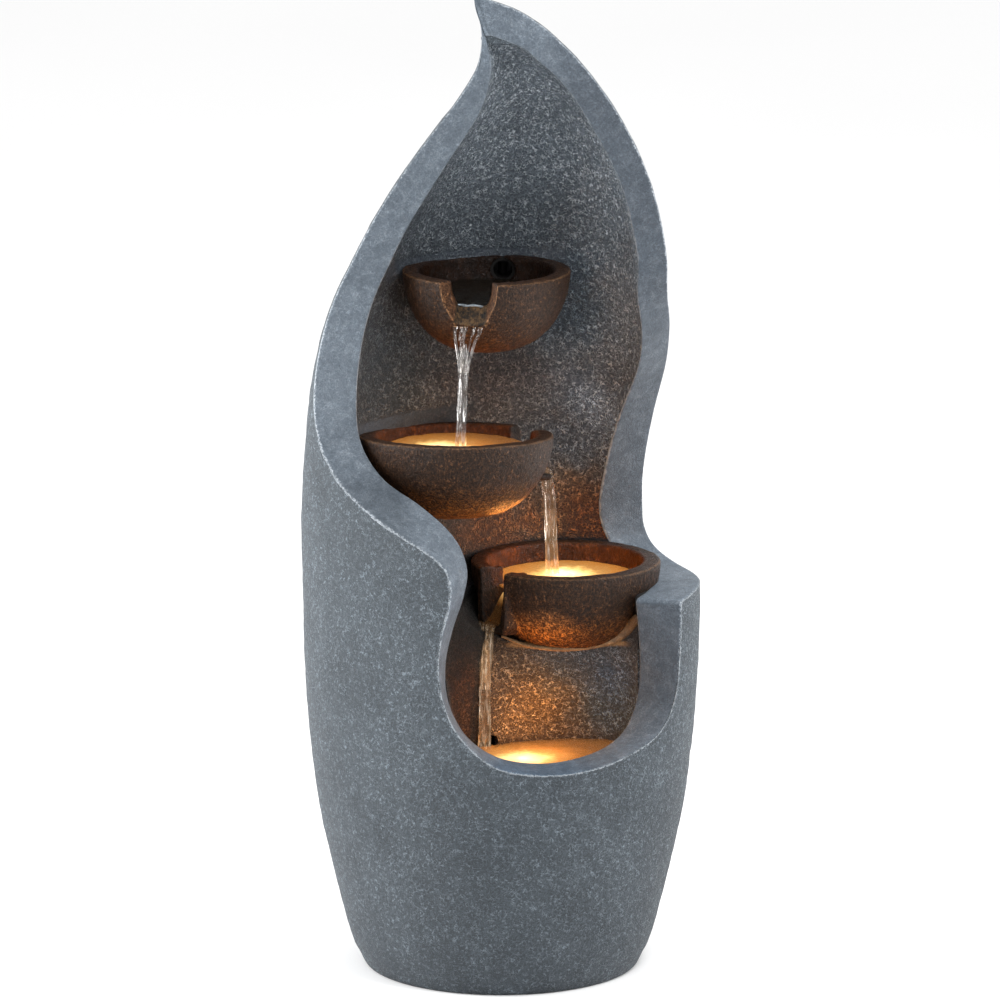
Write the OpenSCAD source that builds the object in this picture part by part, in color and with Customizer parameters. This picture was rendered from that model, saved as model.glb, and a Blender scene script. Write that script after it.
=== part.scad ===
// Cascading water feature: a hollow cast flame-shaped body, cut open at the front,
// with three spouted bowls stepping down inside it to a small pool, a hidden pump
// in the reservoir below and a hinged service door at the back.
// Frame: origin on the ground under the middle of the foot, +X to the right as seen
// from the front, +Y to the back, +Z up, millimetres.

/* [Body] */
// Thickness of the cast outer skin
skin_t = 6; // [5:0.5:7]
// Thickness of the rim band behind its visible face
rim_t = 6; // [5:0.5:7]
// Thickness of the recess and pool walls
wall_t = 5; // [4:0.5:5]

/* [Bowls] */
// Outer radius of the upper bowl at its rim
upper_r = 66.7; // [66:0.1:67.5]
// Outer radius of the middle bowl at its rim
middle_r = 76.7; // [76:0.1:77.5]
// Outer radius of the lower bowl at its rim
lower_r = 75; // [74.5:0.1:75.5]
// Width of the flat rim of a bowl
bowl_rim = 14; // [13:0.5:15]

/* [Door] */
// Width of the service door
door_w = 88; // [84:1:90]
// Height of the service door
door_h = 112; // [106:1:114]
// Running clearance of hinge pin, latch and knobs, on the radius
run_c = 0.05; // [0.02:0.01:0.08]

/* [Pump] */
// Radius of the bore of the riser pipe
riser_r = 4; // [3.5:0.5:4.5]
// Number of impeller blades
blades = 6; // [4:1:8]

/* [Hidden] */
$fn = 64;

// ---------- body of the casting: an ellipse at every height ----------
// height, middle in x, half width, half depth
BODY = [[0, 0, 108, 108], [20, 0, 117.5, 116], [52, 0, 127, 124], [85, 0, 135, 131], [133, 0, 145, 138.5],
    [182, 0, 151.3, 143], [230, 0, 155, 145.5], [280, 0, 156.8, 146.5], [330, -0.5, 157.3, 146], [380, -0.5, 156.8, 144.5],
    [425, -0.5, 154, 141.5], [470, -0.5, 149, 137], [506, -0.8, 141.5, 132], [540, 0.5, 131.5, 125.5], [571, 7, 123, 118.5],
    [603, 12.6, 112, 110], [636, 18.2, 97, 99], [668, 22.5, 78.5, 86], [700, 24.9, 57.2, 69], [724, 22.5, 41.5, 54],
    [741, 16.2, 32, 41], [757, 6.7, 23.3, 28], [770, -6, 14.5, 16], [780, -20.5, 1.2, 1.2]];
// height, wall of the casting on the left, on the right and at the back
WALL = [[0, 31, 31, 31], [480, 31, 31, 31], [531, 31, 29, 31], [566, 30.5, 26.5, 30.5], [592, 30, 26, 30], [622, 30.3, 26, 30],
    [650, 29, 26.2, 30], [683, 25.6, 26.8, 30], [700, 20.3, 26.5, 30], [717, 13.6, 28.8, 30], [728, 9.8, 32, 31],
    [738, 5.5, 34.5, 33], [748, 3, 49, 33]];
// edge of the opening, from the tip down the left side, round the pool and up the right side:
// angle and height of the outer edge, angle and height of the inner edge
EDGE = [[-90, 780, -90, 748], [-90, 768, -90, 746], [-90, 752, -90, 740], [-90, 734, -90, 729], [-90, 715, -90, 713],
    [-90, 690, -90, 688], [-90, 660, -90, 658], [-90, 630, -90, 627], [-90, 600, -89, 595], [-89, 570, -87, 563],
    [-87, 538, -84, 531], [-84, 504, -78, 499], [-79, 468, -72.6, 468], [-67.7, 433, -64.5, 436], [-50.8, 403, -48, 411],
    [-32.6, 379, -29.5, 394], [-20.2, 362, -16.5, 373], [-15, 347, -11, 349], [-14.6, 325, -12, 326], [-16.9, 301, -16.6, 297],
    [-18.3, 275, -19.6, 268], [-17.1, 246, -18.6, 239], [-12.1, 218, -12.8, 213], [-1.9, 194.5, -1.2, 195.5], [11.5, 187, 15, 188.7],
    [27.2, 188, 31, 190], [41.3, 195.6, 46, 196], [54.2, 208, 57.5, 208.5], [61.8, 231.7, 64.8, 233], [63.6, 265.6, 65.5, 265],
    [63.9, 300, 63, 299.5], [64.2, 306.8, 62.6, 305.8], [67, 309, 66, 308], [82, 310.5, 80, 308.6], [100, 308, 100, 309.2],
    [117, 308, 118, 310], [128, 315.5, 129.5, 317], [133, 330, 136, 333], [134, 350, 138, 352], [133.4, 377, 136, 377],
    [130, 411, 131, 411], [124, 447, 122, 447], [113.5, 490, 106, 490], [104, 522, 98, 518], [97, 550, 94, 546],
    [93, 578, 92, 574], [91, 606, 91, 602], [90, 636, 90, 632], [90, 668, 90, 664], [90, 698, 90, 692],
    [90, 722, 90, 716], [90, 742, 90, 731], [90, 758, 90, 741], [90, 771, 90, 745], [90, 780, 90, 748]];
// recess wall, from the ledge up: place on the left edge, place on the right edge, reach of the wall in x and y
REACH = [[20, 29.05, -5, 150], [19, 30, -5, 162], [18.75, 31, -5, 164], [18.65, 32.5, -8, 151], [18.6, 33, -12, 143],
    [18.5, 34, -25, 112], [18.4, 35, -40, 79], [18.3, 36, -52, 52], [18, 36.7, -60, 35], [17, 37.9, -62, 34],
    [16, 38.85, -60, 40], [15, 39.5, -64, 48], [14, 40, -44, 56], [13, 40.7, -28, 53], [12.4, 41.2, -18, 59],
    [12, 41.5, -10, 68], [11, 42.3, 0, 86], [10, 43.45, 0, 92], [9, 44.6, 0, 88], [8, 45.75, 0, 82],
    [7, 46.83, 0, 72], [6, 47.8, 0, 60], [5, 48.86, 0, 45], [4, 49.87, 0, 31], [3, 50.87, 0, 20], [2, 51.9, 0, 9], [1, 53.3, 0, 4]];

// smooth curve through rows [x, v, v, ...]
function seg(x, T) = max(0, min(len(T) - 2, len([for (r = T) if (r[0] <= x) 1]) - 1));
function slope(T, i, k) = i == 0 ? (T[1][k] - T[0][k]) / (T[1][0] - T[0][0])
    : i == len(T) - 1 ? (T[i][k] - T[i - 1][k]) / (T[i][0] - T[i - 1][0])
    : let (h = T[i][0] - T[i - 1][0], g = T[i + 1][0] - T[i][0])
        ((T[i][k] - T[i - 1][k]) / h * g + (T[i + 1][k] - T[i][k]) / g * h) / (h + g);
function herm(x, T, k) = let (i = seg(x, T), h = T[i + 1][0] - T[i][0], u = (x - T[i][0]) / h)
    T[i][k] * (1 + 2 * u) * (1 - u) * (1 - u) + T[i + 1][k] * u * u * (3 - 2 * u)
    + h * slope(T, i, k) * u * (1 - u) * (1 - u) - h * slope(T, i + 1, k) * u * u * (1 - u);
// smooth curve through the rows of T by row number
function row(T, i) = T[max(0, min(len(T) - 1, i))];
function along(T, s) = let (i = min(len(T) - 2, floor(s)), u = s - i, a = row(T, i - 1), b = row(T, i), c = row(T, i + 1), d = row(T, i + 2))
    b + (c - a) * 0.5 * u + (a - 2.5 * b + 2 * c - 0.5 * d) * u * u + (-0.5 * a + 1.5 * b - 1.5 * c + 0.5 * d) * u * u * u;
function norm1(v) = v / norm(v);

// point of the body at angle t from the front and height z, d inside the surface
function skin(t, z, d) = [herm(z, BODY, 1) + (herm(z, BODY, 2) - d) * sin(t), -(herm(z, BODY, 3) - d) * cos(t), z];
// point of the inner face of the casting
function inner(t, z) = let (c = herm(z, BODY, 1), a = herm(z, BODY, 2), l = c - a + herm(z, WALL, 1), r = c + a - herm(z, WALL, 2))
    [(l + r) / 2 + max(0.5, (r - l) / 2) * sin(t), -max(0.5, herm(z, BODY, 3) - herm(z, WALL, 3)) * cos(t), z];
function edge_o(s) = let (e = along(EDGE, s)) skin(e[0], min(780, e[1]), 0);
function edge_i(s) = let (e = along(EDGE, s)) inner(e[2], min(748, e[3]));

// closed solid between two grids of points with the same rows and columns
module grid_solid(A, B, wrap = false) {
    n = len(A); m = len(A[0]); w = wrap ? n : n - 1;
    pts = [for (g = [A, B]) for (r = g) for (p = r) p];
    o = n * m;
    function q(a, b, c, d) = [[a, b, c], [a, c, d]];
    faces = [for (i = [0 : w - 1]) for (j = [0 : m - 2]) let (k = (i + 1) % n) each q(i * m + j, i * m + j + 1, k * m + j + 1, k * m + j),
        for (i = [0 : w - 1]) for (j = [0 : m - 2]) let (k = (i + 1) % n) each q(o + k * m + j, o + k * m + j + 1, o + i * m + j + 1, o + i * m + j),
        for (i = [0 : w - 1]) let (k = (i + 1) % n) each q(k * m, o + k * m, o + i * m, i * m),
        for (i = [0 : w - 1]) let (k = (i + 1) % n, e = m - 1) each q(i * m + e, o + i * m + e, o + k * m + e, k * m + e),
        if (!wrap) for (j = [0 : m - 2]) each q(j + 1, j, o + j, o + j + 1),
        if (!wrap) for (j = [0 : m - 2]) let (e = (n - 1) * m) each q(e + j, e + j + 1, o + e + j + 1, o + e + j)];
    polyhedron(pts, faces, convexity = 12);
}
// closed solid of stacked rings
module stack(R) {
    n = len(R); m = len(R[0]);
    polyhedron([for (r = R) for (p = r) p],
        [[for (j = [0 : m - 1]) j],
        for (i = [0 : n - 2]) for (j = [0 : m - 1]) let (k = (j + 1) % m) each [[i * m + j, (i + 1) * m + j, (i + 1) * m + k], [i * m + j, (i + 1) * m + k, i * m + k]],
        [for (j = [m - 1 : -1 : 0]) (n - 1) * m + j]], convexity = 12);
}
module body_solid(d, zs, m) stack([for (z = zs) [for (j = [0 : m - 1]) skin(360 * j / m, z, d)]]);
// tube of sides n along points P
module tube(P, r, n = 8) {
    k = len(P);
    T = [for (i = [0 : k - 1]) norm1(P[min(k - 1, i + 1)] - P[max(0, i - 1)])];
    U = [for (i = [0 : k - 1]) norm1(cross(T[i], [1, 0.13, 0.07]))];
    stack([for (i = [0 : k - 1]) let (v = cross(T[i], U[i])) [for (j = [0 : n - 1]) P[i] + r * (cos(360 * j / n) * U[i] + sin(360 * j / n) * v)]]);
}

// ---------- the opening and its rim ----------
NE = len(EDGE) - 1;
RS = [for (i = [0 : 1 : NE * 2 - 1]) i / 2];
function rim_dir(s) = let (a = s < 0.4 ? NE - 0.5 : s - 0.5, b = min(NE, s + 0.5),
    t = s < 0.4 ? [1, 0, 0] : edge_o(b) - edge_o(a) + edge_i(b) - edge_i(a), w = edge_i(s) - edge_o(s)) -norm1(cross(t, w));
module rim_solid(t) grid_solid([for (s = RS) [edge_o(s), edge_i(s)]],
    [for (s = RS) let (d = t * rim_dir(s)) [edge_o(s) + d, edge_i(s) + d]], wrap = true);
// the rim and the room in front of it, a little wider than the rim
module rim_room() grid_solid([for (s = RS) let (d = rim_dir(s), w = norm1(edge_o(s) - edge_i(s))) [edge_o(s) - 8 * d + w, edge_i(s) - 8 * d - 3 * w]],
    [for (s = RS) let (d = (rim_t + 0.1) * rim_dir(s), w = norm1(edge_o(s) - edge_i(s))) [edge_o(s) + d + 0.1 * w, edge_i(s) + d - 3 * w]], wrap = true);
function cut_pt(sl, sr, v, d) = let (a = along(EDGE, sl), b = along(EDGE, sr), f = d / 31,
    p = [a[0] + (a[2] - a[0]) * f, a[1] + (a[3] - a[1]) * f], q = [b[0] + (b[2] - b[0]) * f, b[1] + (b[3] - b[1]) * f],
    e = p + (q - p) * v, h = min(785, e[1])) skin(e[0], h, d < 0 ? d : min(d, 0.5 * herm(min(780, h), BODY, 2)));
CUTS = [for (i = [0 : 48]) let (l = min(23.9, i / 2)) [l, l < 13 ? NE - l * 13.3 / 13 : l < 18.3 ? 40.7 - (l - 13) * 4.7 / 5.3
    : l < 18.8 ? 36 - (l - 18.3) * 10 : l < 23.9 ? 31 - (l - 18.8) * 6.9 / 5.1 : 24.1]];
module opening(d) grid_solid([for (c = CUTS) [for (v = [0 : 0.1 : 1]) cut_pt(c[0], c[1], v, -25)]],
    [for (c = CUTS) [for (v = [0 : 0.1 : 1]) cut_pt(c[0], c[1], v, d)]]);

// ---------- recess wall ----------
WR = [for (i = [0 : 0.5 : len(REACH) - 1]) i];
function wall_pt(r, f, d) = let (e = along(REACH, r), a = edge_i(e[0]) + (rim_t + 0.4) * rim_dir(e[0]), b = edge_i(e[1]) + (rim_t + 0.4) * rim_dir(e[1]), m = (a + b) / 2, h = (b - a) / 2,
    c = cos(f), s = sin(f), v = [e[2], e[3], 0], p = m - h * c + v * s, t = h * s + v * c, n = norm1([-t[1], t[0], 0]))
    p + d * n;
module wall_solid(d0, d1) grid_solid([for (r = WR) [for (f = [0 : 10 : 180]) wall_pt(r, f, d1)]],
    [for (r = WR) [for (f = [0 : 10 : 180]) wall_pt(r, f, d0)]]);

// ---------- pool ----------
pool_z = 168;
ledge_z = 267;
function bell(x) = let (u = (x - 50.6) / 56) abs(u) < 1 ? pow(cos(90 * u), 1.2) : 0;
basin_v = [-14, 58, 0];
function basin_back(z, d) = let (a = inner(-19.6, 250), b = inner(65.5, 250), m = (a + b) / 2, h = (b - a) / 2,
    w = max(0, min(1, (z - 185) / (ledge_z - 185))), u = w * w * (3 - 2 * w))
    [for (f = [8 : 8.2 : 173]) let (p = m - h * cos(f) + basin_v * pow(sin(f), 0.75),
        t = h * sin(f) + basin_v * cos(f) * 0.75, n = norm1([-t[1], t[0], 0]))
        [p[0] + d * n[0], p[1] + d * n[1] - 26 * u * bell(p[0]), z]];
function basin_ring(z, d) = let (g = d * 0.46)
    concat([for (t = [65.5 + g : -(85.1 + 2 * g) / 14 : -19.6 - g - 0.01]) skin(t, 235, 31 - d) + [0, 0, z - 235]], basin_back(z, d));
module basin_solid(d, z0, z1) stack([for (z = [z0 : (z1 - z0) / 6 : z1 + 0.01]) let (r = basin_ring(z, d)) [for (i = [len(r) - 1 : -1 : 0]) r[i]]]);

// ---------- bowls ----------
UC = [-11.85, 32, 554.9];
MC = [-35.8, -15, 432];
LC = [50.6, 8, 325.7];
// outline of half a bowl: outer radius r, depth h, flat rim w
function bowl_out(r, h, g) = [for (a = [0 : 6 : 78]) [(r + g) * pow(cos(a), 0.72), -(h + g) * pow(sin(a), 1.12) / pow(sin(78), 1.12)]];
module bowl_half(r, h, w, g) polygon(concat([[0, -(h + g)]], [for (i = [13 : -1 : 0]) bowl_out(r, h, g)[i]], g > 0 ? [[r + g, 8], [0, 8]]
    : concat([[r - w, 0]], [for (a = [10 : 8 : 82]) [(r - w) * pow(cos(a), 0.7), -(h - 12) * pow(sin(a), 1.05)]], [[0, -(h - 12)]])));
module bowl_form(r, h, w, g = 0) rotate_extrude() bowl_half(r, h, w, g);
// gap for a spout: radius r of the rim, widths of the gap at the inner and outer edge of the rim, floor width and depth
module spout_cut(r, wi, wo, n, d, ang) rotate([0, 0, ang]) intersection() {
    translate([0, 0, -d]) linear_extrude(d + 10) let (k = (wo - wi) / 2 / bowl_rim)
        polygon([[-wi / 2, -r * 0.3], [-wi / 2, -r + bowl_rim], [-wo / 2 - k * 8, -r - 8], [wo / 2 + k * 8, -r - 8], [wi / 2, -r + bowl_rim], [wi / 2, -r * 0.3]]);
    rotate([90, 0, 0]) translate([0, 0, r * 0.3]) linear_extrude(r)
        polygon([[-n / 2, -d], [n / 2, -d], [wo / 2, 1], [wo / 2 + 8, 9], [-wo / 2 - 8, 9], [-wo / 2, 1]]);
}
// tongue that carries the water clear of the bowl: reach, width and depth of its top below the rim
module spout_lip(reach, n, d, ang) rotate([0, 0, ang]) translate([-n / 2 - 3, -reach, -d - 9]) cube([n + 6, reach * 0.5, 9]);
module at_upper() translate(UC) rotate([-1.2, 0, 0]) children();
module at_middle() translate(MC) rotate([-4.9, 0, 0]) children();
module at_lower() translate(LC) rotate([-1.2, 0, 0]) children();

// ---------- back door ----------
door_z = 165;
door_y = 136;
door_tilt = -4.6;
// middle of the drain in the pool floor
DRAIN = [-14, -46];
module at_door() translate([0, door_y, door_z]) rotate([door_tilt, 0, 0]) children();

// ---------- nodes ----------
module outer_shell() {
    color("#5f6f7f") resize([0, 0, 0]) difference() {
        body_solid(0, [0, 10, 22, 50, 85, 130, 180, 230, 285, 340, 395, 440, 480, 515, 545, 575, 603, 630, 655, 680, 700, 718, 732, 745, 757, 765, 772, 777, 780], 48);
        body_solid(skin_t, [-1, 6, 20, 50, 85, 130, 180, 230, 285, 340, 395, 440, 480, 515, 545, 575, 603, 630, 655, 680, 700, 718, 732, 745, 755], 48);
        opening(14);
        rim_room();
        translate([-60, -90, 700]) cube([160, 92, 80]);
        translate([-60, -60, 771.5]) cube([120, 120, 20]);
        translate([-60, -60, 742]) cube([54, 68.3, 50]);
        at_door() translate([-door_w / 2 - 9, -30, -door_h / 2 - 9]) cube([door_w + 18, 60, door_h + 18]);
        translate([0, 90, 18]) rotate([-90, 0, 0]) cylinder(r = 11.2, h = 60, $fn = 32);
        translate([0, 116.3, 18]) rotate([-90, 0, 0]) cylinder(r = 15.3, h = 20, $fn = 32);
        translate([42, 80, 34]) rotate([-90, 0, 0]) cylinder(r = 8.2, h = 60, $fn = 24);
    }
}
module rim_band() {
    color("#8496a6") resize([0, 0, 0]) difference() {
        rim_solid(rim_t);
        at_lower() bowl_form(lower_r, 71, bowl_rim, 0.5, $fn = 40);
    }
}
module recess_wall() {
    color("#4a4a4c") resize([0, 0, 0]) difference() {
        intersection() {
            wall_solid(0.1, wall_t);
            body_solid(skin_t + 0.1, [ledge_z + 0.1, 340, 395, 440, 480, 515, 545, 575, 603, 630, 655, 680, 700, 718, 732, 745, 755], 48);
        }
        rim_solid(rim_t + 0.15);
        at_upper() bowl_form(upper_r, 63, bowl_rim, 0.5, $fn = 40);
        at_middle() bowl_form(middle_r, 64, bowl_rim, 0.5, $fn = 40);
        at_lower() bowl_form(lower_r, 71, bowl_rim, 1.2, $fn = 40);
        translate([1, 80, 543]) rotate([-90, 0, 0]) cylinder(r = 10.3, h = 40, $fn = 32);
        translate([1, 108, 505]) cylinder(r = 9, h = 40, $fn = 24);
    }
}
module pool_basin() {
    color("#54504c") resize([0, 0, 0]) difference() {
        basin_solid(wall_t, pool_z, ledge_z - 0.1);
        basin_solid(0, pool_z - 1, ledge_z + 1);
        opening(38);
        rim_room();
        at_lower() bowl_form(lower_r, 71, bowl_rim, 0.5, $fn = 40);
    }
}
module pool_floor() {
    color("#54504c") difference() {
        translate([0, 0, pool_z - 5.1]) linear_extrude(5) polygon([for (p = basin_ring(pool_z, wall_t)) [p[0], p[1]]]);
        translate([DRAIN[0], DRAIN[1], pool_z - 8]) cylinder(r = 9.5, h = 12);
        translate([30, -72, pool_z - 8]) cylinder(r = 6.2, h = 12);
    }
}
module bowl_ledge() {
    color("#54504c") difference() {
        translate([0, 0, ledge_z - 6]) linear_extrude(6) let (b = basin_back(ledge_z - 6, wall_t + 0.6)) polygon(concat(
            [for (f = [22 : 8 : 166]) let (p = wall_pt(0, f, -0.2)) [p[0], p[1]]], [for (i = [18 : -1 : 5]) [b[i][0], b[i][1]]]));
        at_lower() bowl_form(lower_r, 71, bowl_rim, 0.5);
    }
}
module base_plate() {
    color("#444a50") union() {
        cylinder(r = 101.6, h = 6);
        translate([0, 0, 6]) difference() { cylinder(r = 96, h = 10); translate([0, 0, -1]) cylinder(r = 91, h = 12); }
    }
}
module upper_bowl() {
    color("#5a4334") difference() {
        at_upper() bowl_form(upper_r, 63, bowl_rim);
        at_upper() spout_cut(upper_r, 30, 50, 21, 33, -14);
        translate([1, 80, 543]) rotate([-90, 0, 0]) cylinder(r = 10.05, h = 30);
    }
}
module middle_bowl() {
    color("#5a4334") difference() {
        at_middle() union() { bowl_form(middle_r, 64, bowl_rim); spout_lip(82, 18, 32, 116); }
        at_middle() spout_cut(middle_r, 28, 40, 18, 32, 122);
        at_middle() translate([12, -6, -62.2]) cylinder(r = 6.2, h = 30);
        at_middle() translate([12, -6, -52.02]) cylinder(r = 10.3, h = 12);
    }
}
module lower_bowl() {
    color("#5a4334") difference() {
        at_lower() union() { bowl_form(lower_r, 71, bowl_rim); spout_lip(75, 22, 41, -57); }
        at_lower() spout_cut(lower_r, 34, 44, 22, 41, -57);
        at_lower() translate([-6, -10, -69.2]) cylinder(r = 6.2, h = 30);
        at_lower() translate([-6, -10, -59.02]) cylinder(r = 10.3, h = 12);
    }
}
// lights: one in the floor of the middle bowl, one in the lower bowl, one in the pool
module at_lights() {
    at_middle() translate([12, -6, -52]) children();
    at_lower() translate([-6, -10, -59]) children();
    translate([30, -72, pool_z - 0.1]) children();
}
module led_housings() {
    color("#3b3b3b") at_lights() difference() {
        union() { translate([0, 0, 0.8]) cylinder(r = 10, h = 3.2); translate([0, 0, -5]) cylinder(r = 6.1, h = 6); }
        translate([0, 0, 2.4]) cylinder(r = 8.05, h = 3);
        translate([0, 0, -6]) cylinder(r = 2.5, h = 9);
    }
}
module led_lenses() { color("#ffe6a8") at_lights() translate([0, 0, 2.45]) rotate_extrude() polygon([[0, 0], [8, 0], [8, 1.6], [7, 2.8], [4.6, 3.8], [0, 4.2]]); }
module led_seals() { color("#222222") at_lights() difference() { cylinder(r = 9, h = 0.78); translate([0, 0, -1]) cylinder(r = 6.3, h = 3); } }

// ---------- water circuit ----------
PX = 10;
PZ = 32;
PIPE = [[10, 12, 58], [10, 12, 72], [10, 17, 92], [8, 40, 118], [4, 72, 146], [0, 98, 178], [-5, 112, 215], [-9, 118, 255], [-10, 119, 285],
    [-10, 119, 405], [-8, 116, 445], [-3, 112, 480], [1, 108, 505], [1, 108, 524]];
module pump_body() {
    color("#1d1f22") difference() {
        union() {
            translate([PX - 22, 20, 9]) cube([44, 44, 42]);
            translate([PX, 4, PZ]) rotate([-90, 0, 0]) cylinder(r = 20, h = 16.5);
            translate([PX, 12, PZ]) cylinder(r = 7.5, h = 24);
        }
        translate([PX, 3, PZ]) rotate([-90, 0, 0]) cylinder(r = 15, h = 14);
        translate([PX, 10, PZ]) rotate([-90, 0, 0]) cylinder(r = 2, h = 40);
        translate([PX, 12, PZ + 10]) cylinder(r = 5.05, h = 20);
        for (i = [0 : 5]) translate([PX - 16 + i * 6.4, 56, 44]) cube([1.6, 10, 10]);
    }
}
module pump_outlet() {
    color("#1d1f22") difference() {
        translate([PX, 12, 0]) rotate_extrude() polygon([[0, 46], [5, 46], [5, 56.1], [7, 56.1], [7, 57.9], [riser_r - 0.12, 57.9], [riser_r - 0.12, 66], [riser_r - 0.6, 68], [0, 68]]);
        translate([PX, 12, 40]) cylinder(r = 2.6, h = 40);
    }
}
module impeller() {
    color("#c8cdd2") translate([PX, 0, PZ]) rotate([-90, 0, 0]) {
        translate([0, 0, 6]) cylinder(r = 2 - run_c, h = 42);
        translate([0, 0, 14.5]) cylinder(r = 13, h = 1.5);
        for (i = [0 : blades - 1]) rotate([0, 0, i * 360 / blades]) translate([1.5, -0.7, 7]) cube([11, 1.4, 8]);
    }
}
module pump_cover() {
    color("#26292d") translate([PX, 0, PZ]) rotate([-90, 0, 0]) difference() {
        union() { translate([0, 0, -12]) cylinder(r = 20, h = 15.8); }
        translate([0, 0, -9.5]) cylinder(r = 17.5, h = 10.5);
        translate([0, 0, -2]) cylinder(r = 7, h = 8);
        translate([0, 0, -14]) cylinder(r = 3, h = 6);
        for (i = [0 : 11]) rotate([0, 0, i * 30]) translate([12, -1.2, -8]) cube([12, 2.4, 8]);
    }
}
module flow_dial() {
    color("#3c6e8f") translate([PX, 0, PZ]) rotate([-90, 0, 0]) {
        translate([0, 0, -15]) cylinder(r = 9, h = 2.8);
        translate([0, 0, -13]) cylinder(r = 3 - run_c, h = 5);
        translate([-1.2, -8, -17]) cube([2.4, 16, 2.4]);
    }
}
module suction_feet() {
    color("#15171a") for (x = [PX - 15, PX + 15], y = [27, 57]) translate([x, y, 6]) rotate_extrude() polygon([[0, 0.6], [3.6, 0], [6.2, 0], [5, 1.2], [2.6, 2.2], [2.6, 3], [0, 3]]);
}
module riser_pipe() { color("#2b3036") resize([0, 0, 0]) difference() {
        tube(PIPE, riser_r + 2.2, 12);
        tube(concat([PIPE[0] - [0, 0, 1]], [for (i = [1 : len(PIPE) - 2]) PIPE[i]], [PIPE[len(PIPE) - 1] + [0, 0, 1]]), riser_r + 0.05, 12);
    } }
module hose_clamps() {
    color("#b9bdc1") for (p = [[10, 12, 59.5], [1, 108, 513]]) translate(p) difference() {
        union() { cylinder(r = riser_r + 3.6, h = 6); translate([0, riser_r + 1.5, 0.5]) cube([5, 5, 5]); }
        translate([0, 0, -1]) cylinder(r = riser_r + 2.4, h = 8);
    }
}
module pipe_clips() {
    color("#2b3036") for (z = [300, 390]) translate([-10, 119, z]) difference() {
        union() { cylinder(r = riser_r + 5, h = 8); translate([-5, 5, 0]) cube([10, z == 300 ? 14.4 : 12.3, 8]); }
        translate([0, 0, -1]) cylinder(r = riser_r + 2.4, h = 10);
        translate([-2, -12, -1]) cube([4, 10, 10]);
    }
}
module inlet_elbow() {
    color("#2b3036") difference() {
        union() {
            translate([1, 86, 543]) rotate([-90, 0, 0]) cylinder(r = 10, h = 27);
            translate([1, 108, 519.2]) cylinder(r = 8.2, h = 24);
        }
        translate([1, 85, 543]) rotate([-90, 0, 0]) cylinder(r = 7.5, h = 24);
        translate([1, 108, 524.2]) cylinder(r = 4, h = 20);
        translate([1, 108, 519]) cylinder(r = riser_r + 2.3, h = 5.4);
    }
}

// ---------- electrics ----------
module junction_box() {
    color("#1d1f22") difference() {
        union() { translate([-74, 22, 6]) cube([30, 26, 34]); for (x = [-68, -59, -50]) translate([x, 35, 40]) cylinder(r = 3.2, h = 6); }
        for (x = [-68, -59, -50]) translate([x, 35, 36]) cylinder(r = 1.6, h = 12);
    }
}
module cable_gland() {
    color("#1d1f22") translate([42, 0, 34]) rotate([-90, 0, 0]) difference() {
        union() { translate([0, 0, 92]) cylinder(r = 8, h = 25); translate([0, 0, 116.4]) cylinder(r = 11, h = 3); translate([0, 0, 119.1]) cylinder(r = 9, h = 5, $fn = 6); translate([0, 0, 123.6]) cylinder(r = 6, h = 3); }
        translate([0, 0, 91]) cylinder(r = 3.5, h = 40);
    }
}
module gland_nut() { color("#1d1f22") translate([42, 0, 34]) rotate([-90, 0, 0]) difference() { translate([0, 0, 93]) cylinder(r = 11, h = 4.5, $fn = 6); translate([0, 0, 92]) cylinder(r = 8.05, h = 8); } }

// ---------- service door ----------
module plate(w, h, y0, y1) translate([-w / 2, y0, -h / 2]) cube([w, y1 - y0, h]);
HX = -door_w / 2 - 2;
HY = 4.2;
module knuckle(z0, z1, r) translate([HX, HY, z0]) cylinder(r = r, h = z1 - z0);
module door_frame() {
    color("#4c5a68") at_door() difference() {
        union() {
            plate(door_w + 17.6, door_h + 17.6, -14, 3);
            for (z = [-40, 22]) { knuckle(z, z + 18, 3.6); translate([HX - 5, 2, z]) cube([5, 4, 18]); }
        }
        plate(door_w + 1, door_h + 1, -6, 4);
        plate(door_w - 10, door_h - 10, -20, 4);
        plate(door_w + 7, door_h + 7, -20, -9);
        knuckle(-50, 50, 1.5);
        translate([HX, -0.1, -22]) cube([8, 9, 44]);
        knuckle(40, 66, 3.2);
        translate([HX - 4.2, 0.4, -21.9]) cube([8, 8, 43.8]);
    }
}
module door_seal() { color("#202020") at_door() difference() { plate(door_w - 1, door_h - 1, -5.95, -4.05); plate(door_w - 9, door_h - 9, -7, -3); } }
module door() {
    color("#4c5a68") at_door() difference() {
        union() {
            plate(door_w, door_h, -4, 0);
            knuckle(-21.4, 21.4, 3.6);
            translate([HX, 0, -21.4]) cube([16, 2.4, 42.8]);
            for (z = [-36, -12, 12, 36]) translate([-30, -6.5, z - 1]) cube([50, 3, 2]);
        }
        knuckle(-50, 50, 1.5 + run_c);
        translate([32, -10, 0]) rotate([-90, 0, 0]) cylinder(r = 4 + run_c, h = 20);
    }
}
module hinge_pin() { color("#b9bdc1") at_door() { knuckle(-40.5, 40.2, 1.49); knuckle(40.1, 42, 3); } }
module latch_knob() {
    color("#2b2f34") at_door() translate([32, 0, 0]) rotate([-90, 0, 0]) {
        translate([0, 0, 0.3]) cylinder(r = 9, h = 3);
        translate([0, 0, -12.4]) cylinder(r = 4, h = 13);
        translate([-2, -8.4, 3.1]) cube([4, 16.8, 6]);
    }
}
module latch_cam() {
    color("#b9bdc1") at_door() translate([32, 0, 0]) difference() {
        union() { translate([0, -12.4, 0]) rotate([-90, 0, 0]) cylinder(r = 5.6, h = 2.6); translate([-4, -12.4, -13.5]) cube([8, 2.6, 13.5]); }
        translate([0, -14, 0]) rotate([-90, 0, 0]) cylinder(r = 4.02, h = 6);
    }
}

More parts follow.
